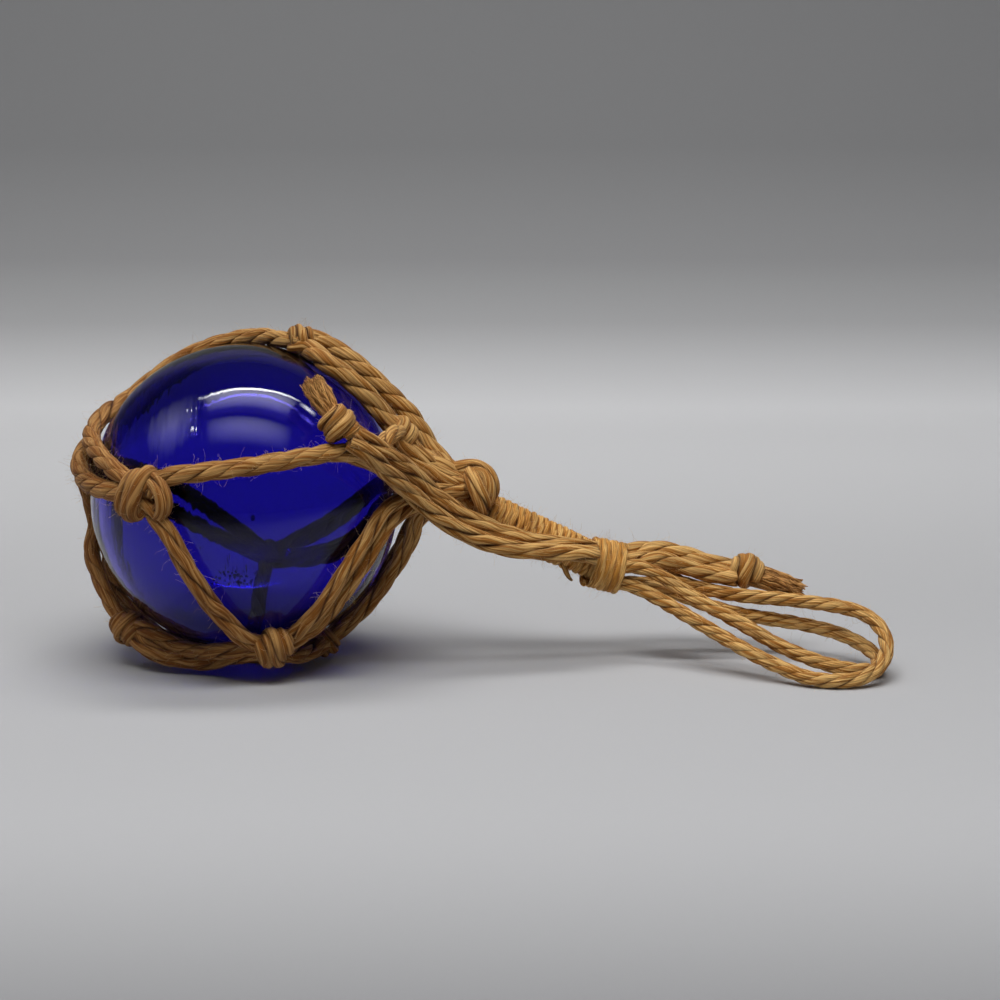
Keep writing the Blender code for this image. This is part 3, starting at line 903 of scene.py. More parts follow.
@dataclass
class WoundTwine:
    """Turns of two-ply twine wound close on each other round a bundle.

    slack is how far a turn strays outwards and along, offset and ply are the distance of a ply from
    the twine's middle and its radius, all as shares of the twine, and twist counts how often the
    plies go round each other in one turn.
    """

    name: str
    start: Vector
    end: Vector
    turns: float
    first_radius: float
    last_radius: float
    twine: float
    seed: int = 1
    slack: tuple[float, float] = (0.35, 0.25)
    offset: float = 0.13
    ply: float = 0.42
    twist: float = 3.3
    points_in_turn: int = 40

    def make(self, material: Material) -> Piece:
        """Wind the twine.

        Args:
            material: its finish.

        Returns:
            The turns as one mesh.
        """
        pattern = Pattern("wind_" + self.name, {
            "Turns": self.turns, "Length": (self.end - self.start).length,
            "First Radius": self.first_radius - self.twine / 2,
            "Last Radius": self.last_radius - self.twine / 2, "Twine": self.twine, "Material": material})
        graph, share, twine = pattern.graph, pattern.share, pattern.given("Twine")
        turn = share * pattern.given("Turns") * TAU
        slip = graph.node("ShaderNodeTexNoise", {"noise_dimensions": "1D"},
                          {"W": (turn * 0.45) + float(self.seed), "Scale": 1.0}) - 0.5
        first, last = pattern.given("First Radius"), pattern.given("Last Radius")
        reach = first + ((last - first) * share) + (slip * twine * self.slack[0])
        climb = (share * pattern.given("Length")) + (slip * twine * self.slack[1])
        helix = graph.joined(reach * turn.cosine(), reach * turn.sine(), climb)
        wound = pattern.moved(pattern.line(round(self.turns * self.points_in_turn)), Position=helix)
        normal = graph.node("GeometryNodeInputNormal")
        across = graph.vector("CROSS_PRODUCT", graph.node("GeometryNodeInputTangent"), normal)
        plies = []
        for k in range(2):
            lay = (turn * self.twist) + (k * math.pi)
            offset = graph.vector("ADD", graph.scaled(normal, lay.cosine() * twine * self.offset),
                                  graph.scaled(across, lay.sine() * twine * self.offset))
            plies.append(pattern.swept(pattern.moved(wound, Offset=offset), twine * self.ply, 9))
        pattern.close(graph.node("GeometryNodeJoinGeometry", None, {"Geometry": plies}))
        return pattern.make(self.name, None, placed(self.start, self.end))


def placed(start: Vector, end: Vector) -> Matrix:
    """Return the matrix that takes +Z at the origin to the line from start to end."""
    turn = Vector((0.0, 0.0, 1.0)).rotation_difference(end - start).to_matrix().to_4x4()
    return Matrix.Translation(start) @ turn


@dataclass
class StrayFibres:
    """Short thin fibres that stand off the outside of a piece of jute.

    outside is how deep in a cord fibres may be rooted, stance how far they stand up, shortness how
    much the short ones outnumber the long ones, curl how far their tips stray, as a share of their
    length, sway_grain how often they change their way, and taper how much thinner their tips are.
    """

    density: float = 450000.0
    length: float = 3.4 * MM
    thickness: float = 0.015 * MM
    curl: float = 0.8
    seed: int = 3
    outside: float = 0.12
    stance: float = 0.75
    shortness: float = 2.6
    sway_grain: float = 300.0
    taper: float = 0.75
    points: int = 5

    def make(self, name: str, source: Piece, material: Material) -> Piece:
        """Grow the fibres from a piece.

        Args:
            name: the name of the fibres.
            source: the piece that they stand off.
            material: their finish.

        Returns:
            The fibres as one mesh.
        """
        pattern = Pattern("grow_" + name, {
            "Density": self.density, "Fibre Length": self.length, "Thickness": self.thickness,
            "Curl": self.curl * self.length, "Seed": self.seed, "Material": material})
        graph, seed = pattern.graph, pattern.given("Seed")
        outside = graph.node("FunctionNodeCompare", {"data_type": "FLOAT", "operation": "LESS_THAN"},
                             {0: pattern.stored("depth", "FLOAT"), 1: self.outside})
        roots = graph.node("GeometryNodeDistributePointsOnFaces", {"distribute_method": "RANDOM"},
                           {"Mesh": pattern.given("Geometry"), "Selection": outside,
                            "Density": pattern.given("Density"), "Seed": seed})
        stray = graph.node("FunctionNodeRandomValue", {"data_type": "FLOAT_VECTOR"},
                           {0: (-1.0, -1.0, -1.0), 1: (1.0, 1.0, 1.0), "Seed": seed})
        lean = graph.vector("ADD", graph.scaled(roots.output("Normal"), self.stance), stray)
        aim = graph.node("FunctionNodeAlignRotationToVector", {"axis": "Z"}, {"Vector": lean})
        size = graph.node("FunctionNodeRandomValue", {"data_type": "FLOAT"}, {2: 0.15, 3: 1.0}, output=1)
        size = (size ** self.shortness) * pattern.given("Fibre Length")
        hairs = pattern.planted(roots, self.points, Rotation=aim, Scale=size)
        reach = (pattern.share ** 1.5) * pattern.given("Curl") * SWAY
        sway = graph.scaled(graph.swirl(self.sway_grain), reach)
        hairs = pattern.tapered(pattern.moved(hairs, Offset=sway), self.taper)
        pattern.close(pattern.swept(hairs, pattern.given("Thickness"), 3))
        piece = pattern.make(name, source.data.copy())
        spots = np.empty(len(piece.data.vertices) * 3)
        piece.data.vertices.foreach_get("co", spots)
        spots[2::3] = np.maximum(spots[2::3], FIBRE_OFF_FLOOR)
        piece.data.vertices.foreach_set("co", spots)
        return piece


@dataclass
class Bristles:
    """A brush of loose fibres at the frayed end of a cord.

    It spreads from its first radius to its last one, the later the higher flare is, and its tips
    stray by bend along X. The shortest of its fibres has the share shortest of its length.
    sway_grain is how often fibres change their way, and taper how much thinner their tips are.
    """

    name: str
    start: Vector
    end: Vector
    count: int
    first_radius: float
    last_radius: float
    thickness: float
    bend: float = 0.0
    seed: int = 5
    shortest: float = 0.78
    flare: float = 1.4
    sway_grain: Triple = (900.0, 900.0, 260.0)
    taper: float = 0.45
    points: int = 9

    def make(self, material: Material) -> Piece:
        """Spread the fibres.

        Args:
            material: its finish.

        Returns:
            The brush as one mesh.
        """
        pattern = Pattern("fray_" + self.name, {
            "Count": self.count, "Length": (self.end - self.start).length,
            "First Radius": self.first_radius, "Last Radius": self.last_radius,
            "Thickness": self.thickness, "Bend": self.bend, "Seed": self.seed, "Material": material})
        graph, share = pattern.graph, pattern.share
        reach, turn = pattern.chance(0.0, 1.0, 1) ** 0.5, pattern.chance(0.0, TAU, 2)
        long = pattern.chance(self.shortest, 1.0, 3)
        root = graph.joined(reach * turn.cosine(), reach * turn.sine(), long)
        roots = graph.node("GeometryNodePoints", None, {"Count": pattern.given("Count")})
        hairs = pattern.planted(pattern.store(roots, "root", root), self.points)
        root = graph.parts(pattern.stored("root"))
        first, last = pattern.given("First Radius"), pattern.given("Last Radius")
        width = first + ((last - first) * (share ** self.flare))
        spot = graph.joined((root * width) + ((share ** 2.0) * pattern.given("Bend")),
                            root.output("Y") * width, share * root.output("Z") * pattern.given("Length"))
        swirl = graph.swirl(1.0, {"Vector": graph.vector("MULTIPLY", spot, self.sway_grain)})
        spot = graph.vector("ADD", spot, graph.scaled(swirl, share * last * SWAY))
        hairs = pattern.tapered(pattern.moved(hairs, Position=spot), self.taper)
        pattern.close(pattern.swept(hairs, pattern.given("Thickness"), 4))
        return pattern.make(self.name, None, placed(self.start, self.end))


# ---------------------------------------------------------------------------------------------------
# The glass
# ---------------------------------------------------------------------------------------------------
@dataclass
class BlownGlass:
    """The sealed ball: a hollow shell of uneven thickness with seed bubbles in its wall."""

    wall: float = 2.8 * MM
    uneven: float = 0.35 * MM
    bubble_depth: float = 1.1 * MM
    segments: int = 144
    rings: int = 72
    bubble_sides: int = 8

    def sphere(self, radius: float, uneven: float) -> tuple[Array, Faces]:
        """Make one skin of the shell.

        Args:
            radius: its radius.
            uneven: how far it swells and sinks.

        Returns:
            Its points and faces.
        """
        tilt = np.linspace(0.0, math.pi, self.rings + 1)[1:-1, None]
        turn = np.linspace(0.0, TAU, self.segments, endpoint=False)[None, :]
        way = np.stack([np.sin(tilt) * np.cos(turn), np.sin(tilt) * np.sin(turn),
                        np.cos(tilt) * np.ones_like(turn)], axis=2).reshape(-1, 3)
        way = np.vstack([way, (0.0, 0.0, 1.0), (0.0, 0.0, -1.0)])
        swell = (np.sin(way[:, 0] * 4.1 + 1.3) * np.cos(way[:, 2] * 5.3 + 0.4) * 0.6
                 + np.sin(way[:, 1] * 7.7 + way[:, 2] * 3.0) * 0.4)
        points = np.array(BALL_CENTRE) + way * (radius + uneven * swell)[:, None]
        faces: Faces = []
        s, top, bottom = self.segments, len(way) - 2, len(way) - 1
        for i in range(self.rings - 2):
            for j in range(s):
                k = (j + 1) % s
                faces.append((i * s + j, (i + 1) * s + j, (i + 1) * s + k, i * s + k))
        last = (self.rings - 2) * s
        for j in range(s):
            k = (j + 1) % s
            faces.append((top, j, k))
            faces.append((bottom, last + k, last + j))
        return points, faces

    def bubbles(self) -> list[tuple[float, float, float, float]]:
        """Place the seed bubbles.

        Returns:
            Each one's bearing and height in degrees, its radius, and how far it is drawn.
        """
        rng = np.random.default_rng(8)
        seeds = [(81.5, 2.2, 0.55 * MM, 1.3), (101.0, -9.0, 0.22 * MM, 1.0),
                 (70.0, 26.0, 0.20 * MM, 1.0)]
        for _ in range(52):
            seeds.append((rng.uniform(79, 98), rng.uniform(-24, -18), rng.uniform(0.16, 0.42) * MM, 1.0))
        for _ in range(9):
            seeds.append((rng.uniform(83, 92), rng.uniform(-18, -12), rng.uniform(0.08, 0.13) * MM,
                          rng.uniform(6.0, 12.0)))
        return seeds

    def bubble(self, bearing: float, height: float, radius: float, drawn: float) -> tuple[Array, Faces]:
        """Make one bubble, whose faces look into its hollow.

        Args:
            bearing: degrees round the ball.
            height: degrees above the ball's equator.
            radius: its radius.
            drawn: how many times as tall as wide it is.

        Returns:
            Its points and faces.
        """
        out = np.array(outward(bearing, height))
        up = unit(np.array([(0.0, 0.0, 1.0)]) - out * out[2])[0]
        side = np.cross(up, out)
        centre = np.array(BALL_CENTRE) + out * (BALL_RADIUS - self.bubble_depth)
        points = [centre + up * radius * drawn]
        s = self.bubble_sides
        for ring in range(1, 4):
            lean = math.pi * ring / 4
            for spin in (TAU * j / s for j in range(s)):
                points.append(centre + up * (radius * drawn * math.cos(lean))
                              + (side * math.cos(spin) + out * math.sin(spin)) * radius * math.sin(lean))
        points.append(centre - up * radius * drawn)
        faces: Faces = []
        for j in range(s):
            k = (j + 1) % s
            faces += [(0, 1 + k, 1 + j), (1 + 3 * s, 1 + 2 * s + j, 1 + 2 * s + k)]
            faces += [(row + j, row + k, row + s + k, row + s + j) for row in (1, 1 + s)]
        return np.array(points), faces

    def make(self, material: Material) -> Piece:
        """Blow the ball.

        Args:
            material: its finish.

        Returns:
            The shell with its bubbles as one mesh.
        """
        outer, faces = self.sphere(BALL_RADIUS, 0.0)
        inner, skin = self.sphere(BALL_RADIUS - self.wall, self.uneven)
        skins = [outer, inner]
        faces += [tuple(len(outer) + v for v in reversed(face)) for face in skin]
        for seed in self.bubbles():
            points, skin = self.bubble(*seed)
            start = sum(len(part) for part in skins)
            faces += [tuple(start + v for v in face) for face in skin]
            skins.append(points)
        return moulded("blown_glass_ball", np.vstack(skins), faces, material)


# ---------------------------------------------------------------------------------------------------
# The net
# ---------------------------------------------------------------------------------------------------
@dataclass
class NetCord:
    """One cord of the net."""

    route: list[Vector]
    layup: LayUp = LayUp.LONG
    diameter: float = NET_CORD


@dataclass
class NetKnot:
    """A knot: turns of cord squeezed flat on the glass round the cords that it holds.

    length, height and depth are its size in millimetres along its axis, along the glass and out of
    it. start is where its first turn begins, as a share of a turn, and belly how much it is rounder
    in the middle than at its ends.
    """

    FLATTEST: ClassVar[float] = 0.42
    TUCK: ClassVar[float] = 0.45
    POINTS_IN_TURN: ClassVar[int] = 10

    centre: Vector
    axis: Vector
    length: float
    height: float
    depth: float
    turns: float = 1.7
    start: float = 0.0
    cord: float = 4.0 * MM
    belly: float = 0.0
    layup: LayUp = LayUp.TURN

    def route(self) -> list[Vector]:
        """Route the cord that makes the turns.

        Returns:
            Its points, with both ends tucked inside the turns.
        """
        z = self.axis.normalized()
        x = (self.centre - BALL_CENTRE).cross(z).normalized()
        y = z.cross(x)
        wide = (self.height * MM - self.cord) / 2
        deep = max((self.depth * MM - self.cord) / 2, self.cord * self.FLATTEST)
        climb = max(self.length * MM - self.cord, 0.0)
        count = round(self.turns * self.POINTS_IN_TURN)
        points = []
        for i in range(-1, count + 2):
            t = min(max(i / count, 0.0), 1.0)
            turn = TAU * (self.turns * i / count + self.start)
            tuck = 1.0 if 0 <= i <= count else self.TUCK
            round_off = (1.0 - self.belly * (2.0 * t - 1.0) ** 2) * tuck
            points.append(self.centre + x * (wide * round_off * math.cos(turn))
                          + y * (deep * round_off * math.sin(turn))
                          + z * (climb * (t - 0.5)))
        return points


NET_CORDS: dict[str, dict[str, NetCord]] = {
    "net_front": {
        "front": NetCord([ball(124, 10), ball(113, 15.5), ball(99, 18), ball(82, 20), ball(64, 22),
            ball(47, 22.5), ball(34, 18), at(37, -15, 50), at(41, -10.5, 45.5), at(47, -6, 43),
            at(54, -2, 43.5)], LayUp.LONG, 4.6 * MM),
        "front_tuck": NetCord([ball(121, 14), ball(116, 14.3, 1.2), ball(111.8, 11.2, 2.2),
            ball(110.4, 8, 2.2), ball(111.6, 5, 1.4), ball(114.5, 3.4),
            ball(118, 3, -1.2)], LayUp.TURN, 4.4 * MM),
        "front_fall": NetCord([ball(120, 8), ball(114.3, 1.6), ball(110.4, -3.2), ball(106, -12),
            ball(101, -23), ball(96, -32), ball(90, -42), ball(82, -49),
            ball(70, -54)], LayUp.OPEN, 4.6 * MM),
        "neck_fall_left": NetCord([at(53, -3, 43.5), at(45, -8, 44), at(39, -13.5, 43.2), ball(31, -1),
            ball(38, -8), ball(45.5, -17), ball(50.5, -27), ball(55, -37), ball(60.5, -46),
            ball(68, -53)], LayUp.OPEN, 3.9 * MM),
        "neck_fall_right": NetCord([at(53, -2, 42), at(45.5, -6.6, 41), at(39.8, -11.5, 40),
            ball(26, -5.5), ball(34, -13), ball(40.5, -22.5), ball(45, -32), ball(49, -41.5),
            ball(55.5, -50), ball(66, -56)], LayUp.LONG, 3.7 * MM),
        "left_bight": NetCord([at(-36, -3, 55.4), at(-38.4, -2.6, 53.2), at(-39.4, -5, 50.4),
            at(-37.8, -10.6, 48.2), at(-35, -17.6, 47.6), ball(143, 9), ball(134, 9),
            ball(125, 9)], LayUp.LONG, 5.0 * MM),
    },
    "net_base": {
        "bottom_inner": NetCord([at(-28, -6.5, 10), ball(155, -51), ball(148, -57), ball(134, -61),
            ball(117, -61), ball(102, -57.5), ball(88, -55), ball(72, -54)]),
        "bottom_outer": NetCord([at(-28, -7.5, 9), at(-24, -11.5, 6.2), at(-19.5, -13, 4.4),
            at(-14.5, -13.6, 3.5), at(-10, -14.8, 3.2), at(-5, -17, 4.3), at(0, -20, 6.1),
            at(6, -22.4, 7.9)], LayUp.OPEN),
        "bottom_link": NetCord([at(8.5, -20.5, 7.2), at(12.5, -15, 4.9), at(16, -9, 4.3),
            at(19.3, -1, 4.7)]),
        "under_front": NetCord([at(-27.5, -4, 8.6), ball(170, -60), ball(162, -70), ball(150, -79),
            ball(90, -89.5), ball(40, -79), ball(24, -70), at(18.8, 0.4, 4.6)]),
        "under_back": NetCord([ball(275, -34), ball(272, -50), ball(272, -66), ball(270, -79),
            ball(318, -84.5), ball(2, -76), at(18.8, 1.2, 4.7)]),
    },
    "net_back": {
        "back_fall_near": NetCord([at(51, 0, 41.5), at(46, 3, 38.5), at(42.2, 4, 34.8),
            at(40.4, 4, 30.2), at(37.4, 3.6, 24.6), at(33.2, 2.8, 18.4), at(27.6, 1.6, 11.8),
            at(20, 0.6, 5.2)]),
        "back_fall_far": NetCord([at(50, 2, 42), at(45, 6.5, 38), at(41, 8.2, 34), at(38.8, 8.2, 29.6),
            at(36, 7.8, 24), at(32, 7, 18), at(26.6, 5.6, 11.6), at(19.5, 2, 5.4)]),
        "left_rise_near": NetCord([at(-38.8, -4.6, 49), ball(185, 4), ball(191, -4), ball(191, -13),
            at(-38.9, 4, 27.2), at(-36.6, 0.6, 21.4), at(-33.2, -3.2, 15.4), at(-29.4, -5.6, 10.6)]),
        "left_rise_far": NetCord([at(-38.6, -2.4, 48), ball(194, 2), ball(200, -8), ball(197, -19),
            ball(190, -30), ball(182, -40), ball(173, -49), ball(161, -55), ball(149, -58)]),
        "back_left": NetCord([ball(275, -34), ball(260, -22), ball(241, -8), ball(222, 2),
            ball(204, 9), ball(190, 12), at(-38.6, -2.5, 50.5)], LayUp.HARD, 4.8 * MM),
        "back_left_low": NetCord([ball(275, -36), ball(259, -29), ball(241, -19), ball(224, -9),
            ball(209, 0), ball(197, 6)], LayUp.LONG, 4.8 * MM),
        "back_right_low": NetCord([ball(275, -36), ball(291, -34), ball(307, -29), ball(322, -21),
            ball(336, -10), at(38.6, 9.4, 37), at(44, 5, 41)], LayUp.LONG, 5.6 * MM),
        "back_right": NetCord([ball(275, -34), ball(288, -27), ball(302, -19), ball(321, -7),
            ball(336, 0), at(41.6, 9.6, 43), at(47.5, 3.6, 44), at(54, 0, 44)], LayUp.HARD, 5.0 * MM),
    },
    "net_crown": {
        "top_left": NetCord([at(13.8, 1.6, 78.7), ball(338, 74.5, -0.4), ball(312, 75, -0.4),
            ball(286, 73), ball(260, 69.5), ball(241, 63), ball(227, 55), ball(216, 45), ball(206, 35),
            at(-34.4, 4, 61.2), at(-36.2, -3, 58.7), at(-35.6, -10, 56.4), ball(150, 20),
            ball(143, 18), ball(134, 15.5), ball(126, 12)], LayUp.LONG, 4.6 * MM),
        "top_fall": NetCord([at(11.4, 0.6, 79.0), ball(357, 67), ball(14, 59), ball(12, 50),
            ball(9, 41), ball(7, 33, 0.2), ball(5, 27, 0.7),
            at(38.4, -3.8, 57.2)], LayUp.LONG, 5.3 * MM),
        "top_outer": NetCord([at(12.5, 2.3, 80.4), at(17, 2.6, 79.9), at(21.2, 3.2, 77.9),
            at(25.5, 3.0, 75.1), at(29.8, 3.0, 71.6), at(34.2, 3.0, 67.4), at(38.2, 3.0, 63.4),
            at(41.3, 2.8, 60.0), at(43.2, 2.2, 56.8), at(45.6, 1.4, 53.0), at(49, 0, 49.4),
            at(53, -0.8, 45)], LayUp.HARD, 4.8 * MM),
        "neck_link": NetCord([at(38.6, -3.6, 57.4), at(41.9, -4.4, 53.4), at(45.6, -3.8, 49.6),
            at(50, -2.6, 46.6), at(54, -1.4, 44.6)]),
        "neck_filler": NetCord([at(36.5, -8, 57.5), at(40.4, -6.4, 52.8), at(45, -5.4, 48),
            at(51, -3, 44)], LayUp.OPEN, 4.8 * MM),
        "neck_tuck": NetCord([at(33.4, -19.4, 55.4), at(35.4, -14.4, 57.6), at(37.4, -8.6, 58.4),
            at(38.8, -3.8, 57.4)]),
    },
}

NET_KNOTS: dict[str, dict[str, NetKnot]] = {
    "net_front": {
        "front_left": NetKnot(ball(121.5, 9.5, 0.8), ball(111, 5) - ball(131, 15), 9.4, 15.8, 8.8, 1.9,
            0.1, 5.0 * MM, 0.15),
        "front_bottom": NetKnot(ball(70, -52.5, 0.8), ball(58, -52) - ball(82, -55), 10.2, 14.6, 9.4,
            2.1, 0.0, 4.6 * MM, 0.25),
    },
    "net_base": {
        "right_bottom": NetKnot(at(19.5, 0.5, 4.8), at(26, 0, 8) - at(15, -4, 3), 7.8, 8.8, 8.0, 1.7,
            0.0, 4.2 * MM, 0.2),
        "left_bottom": NetKnot(at(-28.4, -6.0, 9.6), at(-24, -8, 7) - at(-31, -4, 15), 9.6, 10.4, 9.4,
            2.1, 0.0, 4.4 * MM, 0.2),
    },
    "net_back": {
        "back": NetKnot(ball(275, -34, 0.4), ball(283, -30) - ball(267, -38), 8.6, 10.0, 8.0, 1.9),
    },
    "net_crown": {
        "top": NetKnot(at(14.1, 2.0, 80.0), at(18, 2.4, 79) - at(9, 2.4, 81), 8.0, 7.6, 7.4, 1.8),
        "neck": NetKnot(at(38.6, -3.6, 57.4), at(42, -3, 52) - at(36, -5, 61), 8.6, 9.4, 8.4, 1.9, 0.0,
            4.2 * MM, 0.2),
    },
}


@dataclass
class RopeNet:
    """The knotted net, in the groups that a hand would name."""

    cords: dict[str, dict[str, NetCord]] = field(default_factory=lambda: NET_CORDS)
    knots: dict[str, dict[str, NetKnot]] = field(default_factory=lambda: NET_KNOTS)

    def make(self, material: Material) -> list[Piece]:
        """Lay up every cord and knot.

        Args:
            material: the cords' finish.

        Returns:
            One piece for each group.
        """
        pieces = []
        for g, group in enumerate(self.cords):
            bag = CordBag()
            for i, cord in enumerate(self.cords[group].values()):
                bag.run(cord.route, cord.diameter, cord.layup, 100 * g + i, phase=i * 1.1)
            for i, knot in enumerate(self.knots[group].values()):
                bag.run(knot.route(), knot.cord, knot.layup, 100 * g + 50 + i)
            bag.press()
            pieces.append(bag.make(group, material))
        return pieces


# ---------------------------------------------------------------------------------------------------
# The tail
# ---------------------------------------------------------------------------------------------------
@dataclass
class Tail:
    """The gathered strands, the hitch at their root, the whipping and the seizing."""

    core: list[Vector] = field(default_factory=lambda: [
        at(42, -1.5, 50), at(48, -1, 46.6), at(54, 0.6, 41.2), at(60.4, 3.0, 35.9), at(70, 5.0, 31.0),
        at(79, 6.4, 26.6), at(84.5, 6.2, 24.4), at(88.4, 6.0, 23.4)])
    core_radii: list[float] = field(default_factory=lambda: [4.2, 4.6, 4.0, 3.6, 3.4, 3.2, 2.8, 2.6])
    hitch: list[list[Vector]] = field(default_factory=lambda: [
        [at(46, -0.5, 48.2), at(51.0, -0.4, 48.1), at(55.6, -0.8, 48.7), at(58.6, -2.6, 47.9),
         at(60.0, -4.2, 45.6), at(60.2, -4.6, 43.4), at(59.4, -1.5, 41.2)],
        [at(57.6, 2, 38.6), at(58.2, 6.4, 40.2), at(57.0, 7.6, 43.4), at(55.6, 5.4, 46.2),
         at(55.2, 1.5, 47.3), at(55.4, -2.6, 47.0), at(56.2, -5.2, 45.6), at(57.2, -6.3, 43.2),
         at(58.3, -5.6, 40.0), at(57.8, -1.5, 38.2)]])
    hitch_cord: float = 4.4 * MM
    twine_end: list[Vector] = field(default_factory=lambda: [
        at(77.8, 2.8, 24), at(78.6, 2.2, 22.2), at(79.0, 2.0, 20.8), at(80.2, 2.2, 19.8)])
    fuzz: StrayFibres = field(default_factory=lambda: StrayFibres(seed=11))
    whipping: WoundTwine = field(default_factory=lambda: WoundTwine(
        "whipping_twine", at(58.4, 2.6, 36.7), at(86.6, 6.8, 23.5), 17.5, 5.6 * MM, 4.7 * MM,
        1.95 * MM, 2))
    seizing: WoundTwine = field(default_factory=lambda: WoundTwine(
        "seizing_twine", at(84.4, 3.9, 24.4), at(92.4, 5.1, 22.3), 6.5, 6.4 * MM, 6.6 * MM,
        1.55 * MM, 7))

    def make(self, jute: Material, twine: Material, fibre: Material) -> None:
        """Build the tail's pieces.

        Args:
            jute: the strands' finish.
            twine: the twine's finish.
            fibre: the loose fibres' finish.
        """
        bag = CordBag()
        bag.run(self.core, 2 * MM, LayUp.YARNS, 301, radii=self.core_radii)
        for i, fold in enumerate(self.hitch):
            bag.run(fold, self.hitch_cord, LayUp.TURN, 310 + i)
        bag.run(self.twine_end, 2 * MM, LayUp.OPEN, 304, radii=[0.8, 0.8, 0.6, 0.3])
        strands = enlist(bag.make("tail_strands", jute), "jute_cord", "rope_net")
        enlist(self.fuzz.make("tail_strands_fibres", strands, fibre), "jute_cord", "rope_net")
        whipped = enlist(self.whipping.make(twine), "jute_twine", "whipping")
        enlist(self.fuzz.make("whipping_fibres", whipped, fibre), "jute_twine", "whipping")
        seized = enlist(self.seizing.make(twine), "jute_twine", "seizing")
        enlist(self.fuzz.make("seizing_fibres", seized, fibre), "jute_twine", "seizing")


@dataclass
class FreeCord:
    """A cord that leaves the seizing and lies free, at its real length."""

    name: str
    node: str
    route: list[Vector]
    far_end: str
    leaves_first: bool = True
    layup: LayUp = LayUp.LOOP
    seed: int = 1
    diameter: float = LOOP_CORD
    swell: float = 1.0
    ends_in: str = ""

    def make(self, jute: Material, fibre: Material) -> None:
        """Lay up the cord and its fibres, in place of its plain tube.

        Args:
            jute: the cord's finish.
            fibre: the loose fibres' finish.
        """
        bag = CordBag()
        self.path = bag.run(self.route, self.diameter * self.swell, self.layup, self.seed)
        self.piece = enlist(bag.make(self.name, jute), "jute_cord", self.node)
        fuzz = StrayFibres(seed=self.seed).make(self.name + "_fibres", self.piece, fibre)
        self.fuzz = enlist(fuzz, "jute_cord", self.node)

    def declare(self, pieces: list[Piece]) -> None:
        """Log how long the cord is.

        Args:
            pieces: the knot and brush that go with it; not used.
        """
        leaves = self.route[0] if self.leaves_first else self.route[-1]
        length = float(travelled(self.path)[-1])
        route = [tuple(p) for p in self.path[::4]] + [tuple(self.path[-1])]
        tuple(leaves)
        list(pieces)
        LOG.info("%s: %.0f mm long", self.name, length / MM)


@dataclass
class EndKnot:
    """The overhand knot that ends a pair of strands, and the brush of fibres beyond it."""

    name: str
    node: str
    knot: NetKnot
    brush: Bristles
    seed: int

    def make(self, jute: Material, frayed: Material, fibre: Material) -> list[Piece]:
        """Tie the knot and fray its end.

        Args:
            jute: the knot's finish.
            frayed: the brush's finish.
            fibre: the loose fibres' finish.

        Returns:
            The knot, its fibres and the brush.
        """
        bag = CordBag()
        bag.run(self.knot.route(), self.knot.cord, self.knot.layup, self.seed)
        tied = bag.make(self.name, jute)
        pieces = [tied, StrayFibres(seed=self.seed).make(self.name + "_fibres", tied, fibre),
                  self.brush.make(frayed)]
        return [enlist(piece, "jute_frayed", self.node) for piece in pieces]


